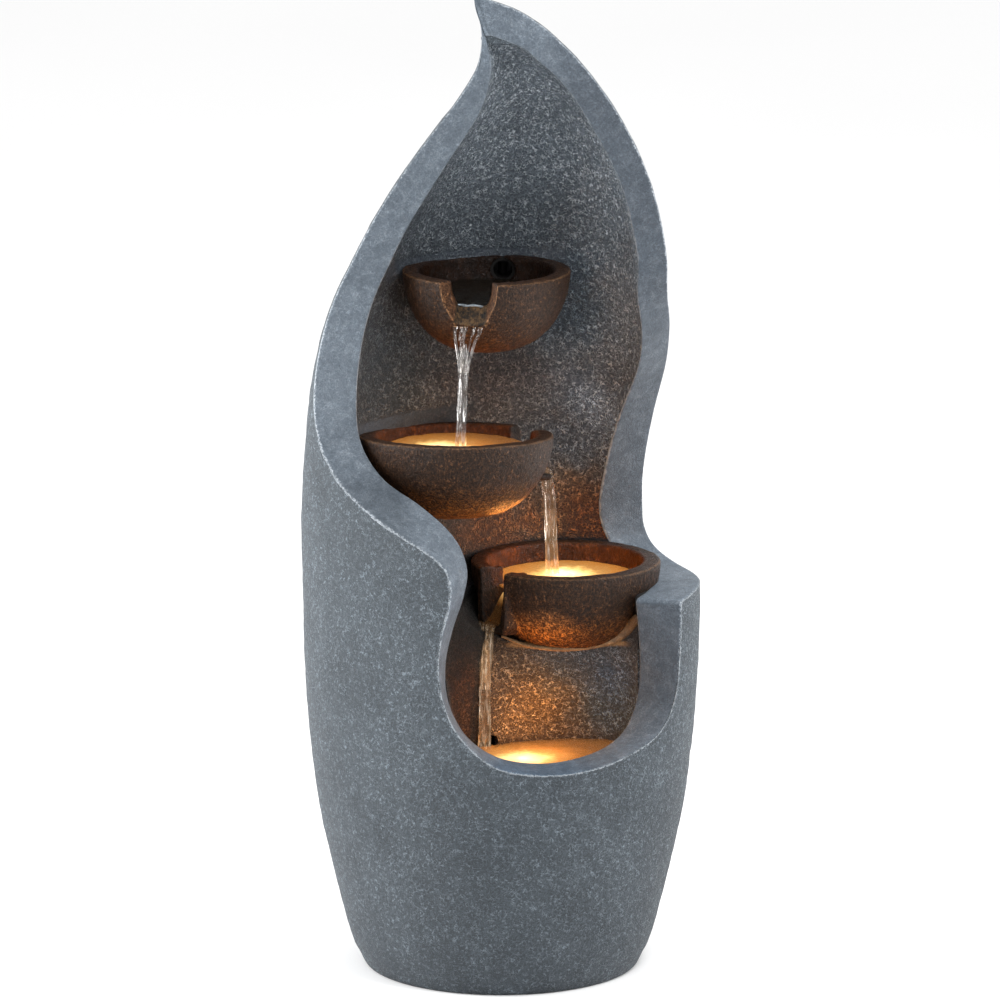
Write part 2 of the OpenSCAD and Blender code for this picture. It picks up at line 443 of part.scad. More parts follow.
// ---------- drain ----------
module drain_bush() {
    color("#2b3036") translate([0, 0, 18]) rotate([-90, 0, 0]) difference() {
        union() { translate([0, 0, 101]) cylinder(r = 11, h = 16); translate([0, 0, 116.4]) cylinder(r = 15, h = 3); }
        translate([0, 0, 100]) cylinder(r = 8, h = 24);
    }
}
module drain_plug() {
    color("#15171a") translate([0, 0, 18]) rotate([-90, 0, 0]) {
        translate([0, 0, 103]) cylinder(r = 8 - run_c, h = 17);
        translate([0, 0, 119.6]) cylinder(r = 12, h = 3);
        translate([-7, -1.5, 122]) cube([14, 3, 5]);
    }
}
module drain_grate() {
    color("#3b3f44") translate([DRAIN[0], DRAIN[1], pool_z - 2.6]) difference() {
        cylinder(r = 9.4, h = 2.5);
        for (x = [-6 : 3 : 6]) translate([x - 0.75, -sqrt(64 - x * x), -1]) cube([1.5, 2 * sqrt(64 - x * x), 5]);
    }
}
outer_shell();
rim_band();
recess_wall();
pool_basin();
pool_floor();
bowl_ledge();
base_plate();
upper_bowl();
middle_bowl();
lower_bowl();
inlet_elbow();
riser_pipe();
hose_clamps();
pipe_clips();
pump_body();
pump_cover();
impeller();
flow_dial();
suction_feet();
pump_outlet();
led_housings();
led_lenses();
led_seals();
junction_box();
cable_gland();
gland_nut();
door_frame();
door_seal();
door();
hinge_pin();
latch_knob();
latch_cam();
drain_bush();
drain_plug();
drain_grate();
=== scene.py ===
import math
import bpy
import bmesh
import numpy as np
from mathutils import Vector, Matrix, kdtree


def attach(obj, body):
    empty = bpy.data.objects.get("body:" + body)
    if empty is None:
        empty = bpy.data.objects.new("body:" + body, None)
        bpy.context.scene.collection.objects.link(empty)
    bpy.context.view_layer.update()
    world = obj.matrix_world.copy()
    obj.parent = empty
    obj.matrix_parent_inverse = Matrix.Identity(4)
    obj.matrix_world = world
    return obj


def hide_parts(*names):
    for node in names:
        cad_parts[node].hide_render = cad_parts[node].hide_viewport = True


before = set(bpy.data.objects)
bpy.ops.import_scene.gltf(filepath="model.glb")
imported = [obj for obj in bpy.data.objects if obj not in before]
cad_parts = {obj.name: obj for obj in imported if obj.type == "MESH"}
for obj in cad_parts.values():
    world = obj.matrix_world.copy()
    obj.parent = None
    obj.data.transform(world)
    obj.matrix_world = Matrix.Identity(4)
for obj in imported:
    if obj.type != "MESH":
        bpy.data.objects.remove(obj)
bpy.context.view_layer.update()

SC = bpy.context.scene

# ---------------------------------------------------------------- camera, world, light
ELEV = math.radians(13.2)
AIM = Vector((-0.0012, 0.0, 0.37544))
FAR = 9.0
cam = bpy.data.objects.new("camera", bpy.data.cameras.new("camera"))
SC.collection.objects.link(cam)
cam.data.sensor_width = 36
cam.data.lens = 36 * FAR / (0.789e-3 * 1000)
cam.data.clip_end = 100
cam.location = (AIM.x, AIM.y - FAR * math.cos(ELEV), AIM.z + FAR * math.sin(ELEV))
cam.rotation_euler = (math.pi / 2 - ELEV, 0, 0)
SC.camera = cam
SC.view_settings.view_transform = "Standard"
SC.view_settings.look = "None"

world = bpy.data.worlds.new("studio")
SC.world = world
world.use_nodes = True
world.node_tree.nodes["Background"].inputs[0].default_value = (1.0, 1.0, 1.0, 1)
world.node_tree.nodes["Background"].inputs[1].default_value = 1.0


def area(name, at, to, w, h, power, color=(1, 1, 1)):
    l = bpy.data.lights.new(name, "AREA")
    l.shape = "RECTANGLE"
    l.size, l.size_y, l.energy, l.color = w, h, power, color
    o = bpy.data.objects.new(name, l)
    SC.collection.objects.link(o)
    o.location = at
    o.rotation_euler = (Vector(to) - Vector(at)).to_track_quat("-Z", "Y").to_euler()
    return o


def glow(name, at, power, radius=0.006, color=(1.0, 0.42, 0.10)):
    l = bpy.data.lights.new(name, "POINT")
    l.energy, l.color, l.shadow_soft_size = power, color, radius
    o = bpy.data.objects.new(name, l)
    SC.collection.objects.link(o)
    o.location = at
    o.visible_camera = o.visible_transmission = o.visible_glossy = False
    return o


area("left soft", (-1.7, 0.05, 0.75), (0, 0, 0.42), 0.9, 1.6, 44)
area("right soft", (1.7, 0.25, 0.65), (0, 0, 0.38), 0.8, 1.4, 18)
area("top soft", (0.7, -0.9, 2.0), (0, 0, 0.4), 0.7, 0.7, 22)

# ---------------------------------------------------------------- the form, in millimetres
# height, middle x, half width, half depth of the body
BODY = np.array([[0, 0, 108, 108], [20, 0, 117.5, 116], [52, 0, 127, 124], [85, 0, 135, 131], [133, 0, 145, 138.5],
    [182, 0, 151.3, 143], [230, 0, 155, 145.5], [280, 0, 156.8, 146.5], [330, -0.5, 157.3, 146], [380, -0.5, 156.8, 144.5],
    [425, -0.5, 154, 141.5], [470, -0.5, 149, 137], [506, -0.8, 141.5, 132], [540, 0.5, 131.5, 125.5], [571, 7, 123, 118.5],
    [603, 12.6, 112, 110], [636, 18.2, 97, 99], [668, 22.5, 78.5, 86], [700, 24.9, 57.2, 69], [724, 22.5, 41.5, 54],
    [741, 16.2, 32, 41], [757, 6.7, 23.3, 28], [770, -6, 14.5, 16], [780, -20.5, 1.2, 1.2]], float)
# height, depth of the inner edge of the rim at left, right and front
WALL = np.array([[0, 31, 31, 31], [480, 31, 31, 31], [531, 31, 25.9, 31], [566, 30.5, 23.3, 30.5], [592, 30, 23.8, 30], [622, 30.3, 23.8, 30],
    [650, 29, 25.2, 30], [683, 25.6, 26.8, 30], [700, 20.3, 26.5, 30], [717, 13.6, 28.8, 30], [728, 9.8, 32, 31],
    [738, 5.5, 34.5, 33], [748, 3, 49, 33]], float)
# outer edge of the rim: turn and height, inner edge of the rim: turn and height
EDGE = np.array([[-90, 780, -90, 748], [-90, 768, -90, 746], [-90, 752, -90, 740], [-90, 734, -90, 729], [-90, 715, -90, 713],
    [-90, 690, -90, 688], [-90, 660, -90, 658], [-90, 630, -90, 627], [-90, 600, -89, 595], [-89, 570, -87, 563],
    [-87, 538, -84, 531], [-84, 504, -78, 499], [-79, 468, -72.6, 468], [-67.7, 433, -64.5, 436], [-50.8, 403, -48, 411],
    [-32.6, 379, -29.5, 394], [-20.2, 362, -16.5, 373], [-15, 347, -11, 349], [-14.6, 325, -12, 326], [-16.9, 301, -16.6, 297],
    [-18.3, 275, -19.6, 268], [-17.1, 246, -18.6, 239], [-12.1, 218, -12.8, 213], [-1.9, 194.5, -1.2, 195.5], [11.5, 187, 15, 188.7],
    [27.2, 188, 31, 190], [41.3, 195.6, 46, 196], [54.2, 208, 57.5, 208.5], [61.8, 231.7, 64.8, 233], [63.6, 265.6, 65.5, 265],
    [63.9, 300, 63, 299.5], [64.2, 306.8, 62.6, 305.8], [67, 309, 66, 308], [82, 310.5, 80, 308.6], [100, 308, 100, 309.2],
    [117, 308, 118, 310], [128, 315.5, 129.5, 317], [133, 330, 136, 333], [134, 350, 138, 352], [133.4, 377, 136, 377],
    [130, 411, 131, 411], [124, 447, 122, 447], [113.5, 490, 106, 490], [104, 522, 98, 518], [95, 550, 93, 546],
    [92, 578, 91.5, 574], [91, 606, 91, 602], [90, 636, 90, 632], [90, 668, 90, 664], [90, 698, 90, 692],
    [90, 722, 90, 716], [90, 742, 90, 731], [90, 758, 90, 741], [90, 771, 90, 745], [90, 780, 90, 748]], float)
# rows of the recess wall: its place on the left and right edge, and how far back it bows in x and y
REACH = np.array([[20, 29.05, -5, 150], [19, 30, -5, 162], [18.75, 31, -5, 164], [18.65, 32.5, -8, 151], [18.6, 33, -12, 143],
    [18.5, 34, -25, 112], [18.4, 35, -40, 79], [18.3, 36, -52, 52], [18, 36.7, -60, 35], [17, 37.9, -62, 34],
    [16, 38.85, -60, 40], [15, 39.5, -64, 48], [14, 40, -44, 56], [13, 40.7, -28, 53], [12.4, 41.2, -18, 59],
    [12, 41.5, -10, 68], [11, 42.3, 0, 86], [10, 43.45, 0, 92], [9, 44.6, 0, 88], [8, 45.75, 0, 82],
    [7, 46.83, 0, 72], [6, 47.8, 0, 60], [5, 48.86, 0, 45], [4, 49.87, 0, 31], [3, 50.87, 0, 20], [2, 51.9, 0, 9], [1, 53.3, 0, 4]], float)
NE = len(EDGE) - 1
LEDGE_Z, POOL_Z, WATER_Z = 267.0, 168.0, 184.0
UC, MC, LC = np.array([-11.85, 32, 554.9]), np.array([-35.8, -15, 432.0]), np.array([50.6, 8, 325.7])


def slopes(x, y):
    h = np.diff(x)
    g = np.diff(y) / h
    m = np.empty(len(x))
    m[0], m[-1] = g[0], g[-1]
    m[1:-1] = (g[:-1] * h[1:] + g[1:] * h[:-1]) / (h[1:] + h[:-1])
    return m


def herm(x, T, k):
    x = np.asarray(x, float)
    X, Y = T[:, 0], T[:, k]
    S = slopes(X, Y)
    i = np.clip(np.searchsorted(X, x, side="right") - 1, 0, len(X) - 2)
    h = X[i + 1] - X[i]
    u = (x - X[i]) / h
    return Y[i] * (1 + 2 * u) * (1 - u) ** 2 + Y[i + 1] * u * u * (3 - 2 * u) + h * S[i] * u * (1 - u) ** 2 - h * S[i + 1] * u * u * (1 - u)


def along(T, s):
    s = np.asarray(s, float)
    n = len(T)
    i = np.clip(np.floor(s).astype(int), 0, n - 2)
    u = (s - i)[..., None]
    a, b, c, d = T[np.clip(i - 1, 0, n - 1)], T[i], T[i + 1], T[np.clip(i + 2, 0, n - 1)]
    return b + (c - a) * 0.5 * u + (a - 2.5 * b + 2 * c - 0.5 * d) * u * u + (-0.5 * a + 1.5 * b - 1.5 * c + 0.5 * d) * u ** 3


def unit(v):
    return v / np.maximum(np.linalg.norm(v, axis=-1, keepdims=True), 1e-12)


def skin(t, z, d=0.0):
    t, z = np.radians(t), np.asarray(z, float)
    return np.stack([herm(z, BODY, 1) + (herm(z, BODY, 2) - d) * np.sin(t), -(herm(z, BODY, 3) - d) * np.cos(t), z + 0 * t], -1)


def inner(t, z):
    t, z = np.radians(t), np.asarray(z, float)
    c, a = herm(z, BODY, 1), herm(z, BODY, 2)
    l, r = c - a + herm(z, WALL, 1), c + a - herm(z, WALL, 2)
    return np.stack([(l + r) / 2 + np.maximum(0.5, (r - l) / 2) * np.sin(t), -np.maximum(0.5, herm(z, BODY, 3) - herm(z, WALL, 3)) * np.cos(t), z + 0 * t], -1)


def edge_o(s):
    e = along(EDGE, s)
    return skin(e[..., 0], np.minimum(780, e[..., 1]))


def edge_i(s):
    e = along(EDGE, s)
    return inner(e[..., 2], np.minimum(748, e[..., 3]))


def rim_dir(s):
    s = np.asarray(s, float)
    a, b = np.where(s < 0.4, NE - 0.5, s - 0.5), np.minimum(NE, s + 0.5)
    t = edge_o(b) - edge_o(a) + edge_i(b) - edge_i(a)
    t = np.where((s < 0.4)[..., None], np.array([1.0, 0, 0]), t)
    return -unit(np.cross(t, edge_i(s) - edge_o(s)))


def wall_dir(s):
    """where the recess goes back from the inner edge of the rim"""
    r = np.arange(len(REACH), dtype=float)
    v = unit(np.concatenate([REACH[:, 2:], np.zeros((len(REACH), 1))], 1))
    left = np.stack([np.interp(s, REACH[::-1, 0], v[::-1, k]) for k in range(3)], -1)
    right = np.stack([np.interp(s, REACH[:, 1], v[:, k]) for k in range(3)], -1)
    w = np.where(s < 1, 0, np.where(s < 19.5, 1, np.where(s < 20.5, 20.5 - s, np.where(s < 28.6, 0, np.where(s < 29.4, (s - 28.6) / 0.8, np.where(s < 53.3, 1, 0))))))[..., None]
    return unit(w * np.where((s < 24)[..., None], left, right) + (1 - w) * rim_dir(s))


def wall_pt(r, f, d, back=0.0):
    e = along(REACH, r)
    q = back * unit(np.stack([e[..., 2], e[..., 3], 0 * e[..., 2]], -1))
    a, b = edge_i(e[..., 0]) + q, edge_i(e[..., 1]) + q
    m, h = (a + b) / 2, (b - a) / 2
    fr = np.radians(f)
    c, s = np.cos(fr)[..., None], np.sin(fr)[..., None]
    v = np.stack([e[..., 2], e[..., 3], 0 * e[..., 2]], -1)
    t = h * s + v * c
    return m - h * c + v * s + d * unit(np.stack([-t[..., 1], t[..., 0], 0 * t[..., 0]], -1))


def basin_back(z, d, F):
    a, b = inner(-19.6, 250), inner(65.5, 250)
    v = np.array([-14.0, 58.0, 0.0])
    m, h = (a + b) / 2, (b - a) / 2
    w = np.clip((z - 185) / (LEDGE_Z - 185), 0, 1)
    u = w * w * (3 - 2 * w)
    f = np.radians(F)[:, None]
    p = m - h * np.cos(f) + v * np.sin(f) ** 0.75
    t = h * np.sin(f) + v * np.cos(f) * 0.75
    n = unit(np.stack([-t[:, 1], t[:, 0], 0 * t[:, 0]], -1))
    q = (p[:, 0] - 50.6) / 56
    bell = np.where(np.abs(q) < 1, np.abs(np.cos(np.radians(90 * np.clip(q, -1, 1)))) ** 1.2, 0)
    return np.stack([p[:, 0] + d * n[:, 0], p[:, 1] + d * n[:, 1] - 26 * u * bell, 0 * p[:, 0] + z], -1)


# ---------------------------------------------------------------- noise on points
def _hash(i, j, k, seed):
    h = (i.astype(np.uint32) * np.uint32(374761393)) ^ (j.astype(np.uint32) * np.uint32(668265263)) ^ (k.astype(np.uint32) * np.uint32(2246822519)) ^ np.uint32((seed * 3266489917 + 12345) & 0xFFFFFFFF)
    h = (h ^ (h >> np.uint32(13))) * np.uint32(1274126177)
    h = (h ^ (h >> np.uint32(16))) * np.uint32(2654435761)
    return (h ^ (h >> np.uint32(15))).astype(np.float64) / 4294967295.0


def vnoise(P, size, seed=0):
    q = np.asarray(P, float) / size
    f = np.floor(q)
    u = q - f
    u = u * u * u * (u * (u * 6 - 15) + 10)
    i = f.astype(np.int64)
    out = 0
    for a in (0, 1):
        for b in (0, 1):
            for c in (0, 1):
                w = (u[..., 0] if a else 1 - u[..., 0]) * (u[..., 1] if b else 1 - u[..., 1]) * (u[..., 2] if c else 1 - u[..., 2])
                out = out + w * _hash(i[..., 0] + a, i[..., 1] + b, i[..., 2] + c, seed)
    return out * 2 - 1


def near(P, C):
    kd = kdtree.KDTree(len(C))
    for i, c in enumerate(C.tolist()):
        kd.insert(c, i)
    kd.balance()
    return np.array([kd.find(p)[2] for p in P.tolist()])


# ---------------------------------------------------------------- mesh helpers
def make(name, V, F, smooth=None, attrs=None):
    """V in millimetres, F a list of arrays of faces with the same number of corners."""
    V = np.asarray(V, float).reshape(-1, 3)
    me = bpy.data.meshes.new(name)
    me.vertices.add(len(V))
    me.vertices.foreach_set("co", (V / 1000).astype(np.float32).ravel())
    F = [np.asarray(f, dtype=np.int32) for f in F if len(f)]
    loops = np.concatenate([f.ravel() for f in F])
    sizes = np.concatenate([np.full(len(f), f.shape[1], dtype=np.int32) for f in F])
    me.loops.add(len(loops))
    me.loops.foreach_set("vertex_index", loops)
    me.polygons.add(len(sizes))
    me.polygons.foreach_set("loop_start", np.concatenate([[0], np.cumsum(sizes)[:-1]]).astype(np.int32))
    me.update(calc_edges=True)
    me.validate()
    me.polygons.foreach_set("use_smooth", np.ones(len(me.polygons), dtype=bool))
    if smooth is not None:
        me.set_sharp_from_angle(angle=math.radians(smooth))
    for k, a in (attrs or {}).items():
        put_attr(me, k, a)
    o = bpy.data.objects.new(name, me)
    SC.collection.objects.link(o)
    return o


def put_attr(me, name, a):
    at = me.attributes.get(name) or me.attributes.new(name, "FLOAT", "POINT")
    at.data.foreach_set("value", np.asarray(a, np.float32))


def verts(me):
    v = np.empty(len(me.vertices) * 3, np.float32)
    me.vertices.foreach_get("co", v)
    return v.reshape(-1, 3).astype(float) * 1000


def set_verts(me, V):
    me.vertices.foreach_set("co", (V / 1000).astype(np.float32).ravel())
    me.update()


def vnormals(me):
    n = np.empty(len(me.vertices) * 3, np.float32)
    me.vertex_normals.foreach_get("vector", n)
    return n.reshape(-1, 3).astype(float)


def grid_faces(m, n, base=0, wrap_m=False, wrap_n=False, flip=False):
    i, j = np.meshgrid(np.arange(m if wrap_m else m - 1), np.arange(n if wrap_n else n - 1), indexing="ij")
    i2, j2 = (i + 1) % m, (j + 1) % n
    q = np.stack([i * n + j, i * n + j2, i2 * n + j2, i2 * n + j], -1).reshape(-1, 4) + base
    return q[:, ::-1] if flip else q


def closed_pair(A, B):
    """closed solid between two grids of points; A is in front."""
    m, n = A.shape[:2]
    V = np.concatenate([A.reshape(-1, 3), B.reshape(-1, 3)])
    k = m * n
    ring = np.concatenate([np.arange(n), np.arange(1, m) * n + n - 1, (m - 1) * n + np.arange(n - 2, -1, -1), np.arange(m - 2, 0, -1) * n])
    nxt = np.roll(ring, -1)
    side = np.stack([ring, ring + k, nxt + k, nxt], -1)
    return V, [grid_faces(m, n), grid_faces(m, n, k, flip=True), side]


def fix_normals(o):
    bm = bmesh.new()
    bm.from_mesh(o.data)
    bmesh.ops.recalc_face_normals(bm, faces=bm.faces)
    if bm.calc_volume(signed=True) < 0:
        bmesh.ops.reverse_faces(bm, faces=bm.faces)
    bm.to_mesh(o.data)
    bm.free()
    return o


def solid(name, V, F):
    return fix_normals(make(name, V, F))


def stack(name, R):
    """closed solid through rings of points"""
    R = np.asarray(R)
    m, n = R.shape[:2]
    V = R.reshape(-1, 3)
    return solid(name, V, [grid_faces(m, n, wrap_n=True), np.arange(n)[None, ::-1], ((m - 1) * n + np.arange(n))[None, :]])


def revolve(name, prof, n=96, at=None):
    """closed solid of revolution about z; prof runs from the axis at the bottom to the axis at the top"""
    prof = np.asarray(prof, float)
    a = np.linspace(0, 2 * math.pi, n, endpoint=False)
    mid = prof[1:-1]
    V = np.stack([mid[:, None, 0] * np.cos(a), mid[:, None, 0] * np.sin(a), mid[:, None, 1] + 0 * a], -1).reshape(-1, 3)
    V = np.concatenate([V, [[0, 0, prof[0, 1]], [0, 0, prof[-1, 1]]]])
    m = len(mid)
    j = np.arange(n)
    j2 = (j + 1) % n
    F = [grid_faces(m, n, wrap_n=True), np.stack([j2, j, 0 * j + m * n], -1), np.stack([(m - 1) * n + j, (m - 1) * n + j2, 0 * j + m * n + 1], -1)]
    if at is not None:
        V = at(V)
    return solid(name, V, F)


def box(name, lo, hi, at=None):
    lo, hi = np.array(lo, float), np.array(hi, float)
    V = np.array([[(lo, hi)[a][0], (lo, hi)[b][1], (lo, hi)[c][2]] for a in (0, 1) for b in (0, 1) for c in (0, 1)])
    F = [[0, 1, 3, 2], [4, 6, 7, 5], [0, 4, 5, 1], [2, 3, 7, 6], [0, 2, 6, 4], [1, 5, 7, 3]]
    return solid(name, V if at is None else at(V), [F])


def rod(name, p, q, r, n=48):
    p, q = np.array(p, float), np.array(q, float)
    t = unit(q - p)
    u = unit(np.cross(t, [0.3, 0.2, 0.93]))
    v = np.cross(t, u)
    a = np.linspace(0, 2 * math.pi, n, endpoint=False)[:, None]
    ring = r * (np.cos(a) * u + np.sin(a) * v)
    return stack(name, [p + ring, q + ring])


def extrude(name, poly, z0, z1, at=None):
    poly = np.asarray(poly, float)
    R = np.stack([np.concatenate([poly, np.full((len(poly), 1), z)], 1) for z in (z0, z1)])
    o = stack(name, R if at is None else np.stack([at(r) for r in R]))
    return o


def combine(o, ops, solver="MANIFOLD"):
    """ops is a list of (operation, object); the tools are removed afterwards"""
    for kind, tool in ops:
        md = o.modifiers.new("b", "BOOLEAN")
        md.operation, md.object, md.solver = kind, tool, solver
    dg = bpy.context.evaluated_depsgraph_get()
    new = bpy.data.meshes.new_from_object(o.evaluated_get(dg))
    o.modifiers.clear()
    old = o.data
    o.data = new
    bpy.data.meshes.remove(old)
    for _, tool in ops:
        me = tool.data
        bpy.data.objects.remove(tool)
        bpy.data.meshes.remove(me)
    return o


def remesh(o, size, smooth=4, factor=0.6):
    md = o.modifiers.new("r", "REMESH")
    md.mode, md.voxel_size, md.use_smooth_shade = "VOXEL", size / 1000, True
    s = o.modifiers.new("s", "SMOOTH")
    s.iterations, s.factor = smooth, factor
    dg = bpy.context.evaluated_depsgraph_get()
    new = bpy.data.meshes.new_from_object(o.evaluated_get(dg))
    o.modifiers.clear()
    o.data = new
    return o


def finish(o, name, body="housing", angle=None, stands=()):
    o.name = o.data.name = name
    o.data.polygons.foreach_set("use_smooth", np.ones(len(o.data.polygons), dtype=bool))
    if angle:
        o.data.set_sharp_from_angle(angle=math.radians(angle))
    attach(o, body)
    if stands:
        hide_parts(*stands)
    return o


def rot_x(deg):
    a = math.radians(deg)
    return np.array([[1, 0, 0], [0, math.cos(a), -math.sin(a)], [0, math.sin(a), math.cos(a)]])


def rot_z(deg):
    a = math.radians(deg)
    return np.array([[math.cos(a), -math.sin(a), 0], [math.sin(a), math.cos(a), 0], [0, 0, 1]])


def placed(C, tilt):
    R = rot_x(tilt)
    return lambda V: np.asarray(V) @ R.T + C


at_upper, at_middle, at_lower = placed(UC, -1.2), placed(MC, -4.9), placed(LC, -1.2)
at_door = placed(np.array([0, 136.0, 165.0]), -4.6)

# ---------------------------------------------------------------- casting: outer skin
s_fine = np.linspace(0, NE, 5200)
EO, EI = edge_o(s_fine), edge_i(s_fine)


def cuts(l):
    l = np.minimum(23.9, l)
    return np.where(l < 13, NE - l * 13.3 / 13, np.where(l < 18.3, 40.7 - (l - 13) * 4.7 / 5.3, np.where(l < 18.8, 36 - (l - 18.3) * 10, np.where(l < 23.9, 31 - (l - 18.8) * 6.9 / 5.1, 24.1))))


def cut_grid(d, k=8, nv=24):
    l = np.concatenate([np.arange(0, 18.3, 1 / k), np.arange(18.3, 18.8, 0.008), np.arange(18.8, 23.9, 1 / k), [23.9]])
    a, b = along(EDGE, l), along(EDGE, cuts(l))
    b = b + np.array([0.45, 0, 0.45, 0]) * ((b[:, 0] > 75) & (l < 18.55))[:, None]
    f = d / 31
    p, q = a[:, :2] + (a[:, 2:] - a[:, :2]) * f, b[:, :2] + (b[:, 2:] - b[:, :2]) * f
    v = np.linspace(0, 1, nv)[None, :, None]
    e = p[:, None] + (q - p)[:, None] * v
    h = np.minimum(785, e[..., 1])
    return skin(e[..., 0], h, d if d < 0 else np.minimum(d, 0.5 * herm(np.minimum(780, h), BODY, 2)))


def opening(name, d):
    V, F = closed_pair(cut_grid(-25), cut_grid(d))
    return solid(name, V, F)


def make_skin():
    ts = np.concatenate([np.linspace(-108, 108, 190), np.linspace(110.2, 249.8, 64)])
    zs = np.concatenate([[0, 0.25, 0.9, 2.0], np.arange(3.6, 771, 3.1), [773, 775, 777, 778.6, 779.6]])
    ds = np.interp(zs, [0, 0.25, 0.9, 2.0, 3.6], [2.6, 1.3, 0.5, 0.1, 0])
    o = stack("skin", np.stack([skin(ts, np.full(len(ts), z), d) for z, d in zip(zs, ds)]))
    hz = np.concatenate([[-4, 0, 20], np.linspace(50, 700, 26), [712, 724, 734, 742]])
    ht = np.linspace(0, 360, 72, endpoint=False)
    hollow = stack("hollow", np.stack([skin(ht, np.full(len(ht), max(z, 0)), 5.6) + [0, 0, min(z, 0)] for z in hz]))
    ops = [("DIFFERENCE", hollow), ("DIFFERENCE", opening("cut", 16)),
        ("DIFFERENCE", box("b1", (-80, -120, 690), (120, 0.3, 800))),
        ("DIFFERENCE", box("b2", (-53, -30, -65), (53, 30, 65), at_door)),
        ("DIFFERENCE", rod("b3", (0, 90, 18), (0, 150, 18), 11.2)),
        ("DIFFERENCE", rod("b4", (0, 116.3, 18), (0, 150, 18), 15.3)),
        ("DIFFERENCE", rod("b5", (42, 80, 34), (42, 150, 34), 8.2))]
    combine(o, ops)
    me = o.data
    V = verts(me)
    z = np.clip(V[:, 2], 0, 780)
    a, b = np.maximum(herm(z, BODY, 2), 1), np.maximum(herm(z, BODY, 3), 1)
    rx, ry = (V[:, 0] - herm(z, BODY, 1)) / a, V[:, 1] / b
    R = np.hypot(rx, ry)
    outer = R > 1 - 0.4 / np.minimum(a, b)
    d = near(V, EO)
    N = unit(np.stack([rx / a, ry / b, -(herm(np.minimum(z + 1, 780), BODY, 2) - herm(np.maximum(z - 1, 0), BODY, 2)) / 2 / a * 1.0], -1) * np.stack([np.ones(len(V)), np.ones(len(V)), np.ones(len(V))], -1))
    amp = np.clip((d - 1) / 10, 0, 1) * outer * np.clip(z / 12, 0, 1) * np.clip((775 - z) / 25, 0, 1)
    bump = 0.28 * vnoise(V, 9.5, 1) + 0.20 * vnoise(V, 5.6, 2) + 0.5 * vnoise(V, 60, 3) * np.clip(d / 60, 0, 1)
    V = V + N * (amp * bump)[:, None]
    set_verts(me, V)
    put_attr(me, "edge", np.where(outer, d, 20))
    return finish(o, "cast_skin", angle=38, stands=("outer_shell",))


# ---------------------------------------------------------------- casting: rim round the opening
def make_rim():
    mid = (EO + EI) / 2
    L = np.concatenate([[0], np.cumsum(np.linalg.norm(np.diff(mid, axis=0), axis=1) + 0.35 * np.linalg.norm(np.diff(EO, axis=0), axis=1))])
    n = 1350
    s = np.interp(np.linspace(0, L[-1], n), L, s_fine)
    O, I, D = edge_o(s), edge_i(s), rim_dir(s)
    for _ in range(6):
        D[1:-1] = unit(D[:-2] + 2 * D[1:-1] + D[2:])
    W = unit(I - O)
    wide = np.linalg.norm(I - O, axis=1)
    T = unit(np.gradient(O, axis=0))
    z = np.clip(O[:, 2], 0, 779)
    a, b = np.maximum(herm(z, BODY, 2), 1.2), np.maximum(herm(z, BODY, 3), 1.2)
    NS = unit(np.stack([(O[:, 0] - herm(z, BODY, 1)) / a ** 2, O[:, 1] / b ** 2, -(herm(z + 0.9, BODY, 2) - herm(z - 0.9, BODY, 2)) / 1.8 / a], -1))
    G = unit(np.cross(T, NS))
    G = np.where((np.sum(G * D, -1) < 0)[:, None], -G, G)
    k = np.clip(b / 8, 0.16, 1)[:, None]
    Q = wall_dir(s)
    for _ in range(8):
        Q[1:-1] = unit(Q[:-2] + 2 * Q[1:-1] + Q[2:])
    rf = np.minimum(1.5, b * 0.5)[:, None]
    ws = wide[:, None]
    lift = 0.5
    cols, ua, ub = [], [], []

    def add(P, u, v):
        cols.append(P)
        ua.append(u + 0 * wide)
        ub.append(v + 0 * wide)
    for q in np.linspace(1, 0, 6):       # rounded outer corner, from the skin to the face
        c0, c1, c2 = O + rf * W - lift * D, O - lift * 0.6 * D, O + rf * G
        add((1 - q) ** 2 * c0 + 2 * q * (1 - q) * c1 + q * q * c2, (1 - q) * 1.2, wide)
    for x in (0.09, 0.15, 0.24, 0.35, 0.46, 0.57, 0.68, 0.78, 0.87, 0.93):
        P = O + x * (ws - rf * 0.5) * W
        wob = 0.30 * vnoise(P, 11, 5) + 0.16 * vnoise(P, 5.2, 6) + 0.2 * math.sin(math.pi * x) ** 2
        add(P - (lift + wob * min(1, 6 * x * (1 - x)))[:, None] * D, x * wide, (1 - x) * wide)
    for q in np.linspace(0, 1, 5):       # rounded inner corner
        c0, c1, c2 = I - 1.5 * W - lift * D, I - lift * 0.7 * D, I + 1.3 * k * Q
        add((1 - q) ** 2 * c0 + 2 * q * (1 - q) * c1 + q * q * c2, wide, (1 - q) * 1.4)
    add(I + 2.8 * k * Q - 1.2 * W, wide, 5)
    add(I + 3.6 * k * Q - 5.0 * W, wide, 9)
    add(O + 3.6 * k * G + 5.0 * k * W, 9, 9)
    add(O + 2.6 * k * G + 1.1 * k * W, 5, 9)
    P = np.stack(cols, 1)
    m = P.shape[1]
    o = solid("rim", P.reshape(-1, 3), [grid_faces(n, m, wrap_m=True, wrap_n=True)])
    put_attr(o.data, "edge", np.stack(ua, 1).ravel())
    put_attr(o.data, "edge_in", np.stack(ub, 1).ravel())
    return finish(o, "cast_rim", stands=("rim_band",))


# ---------------------------------------------------------------- casting: wall of the recess
def bowl_in(r, h, w=14):
    a = np.radians(np.linspace(0, 90, 24))
    return np.stack([(r - w) * np.cos(a) ** 0.7, -(h - 12) * np.sin(a) ** 1.05], -1)


def cavity(name, r, h, at, top=2.0, g=0.0):
    p = bowl_in(r, h)[::-1]
    p[:, 0] += g
    p[0, 0] = 0
    return revolve(name, np.concatenate([p, [[r - 14 + g, top], [0, top]]]), 64, at)


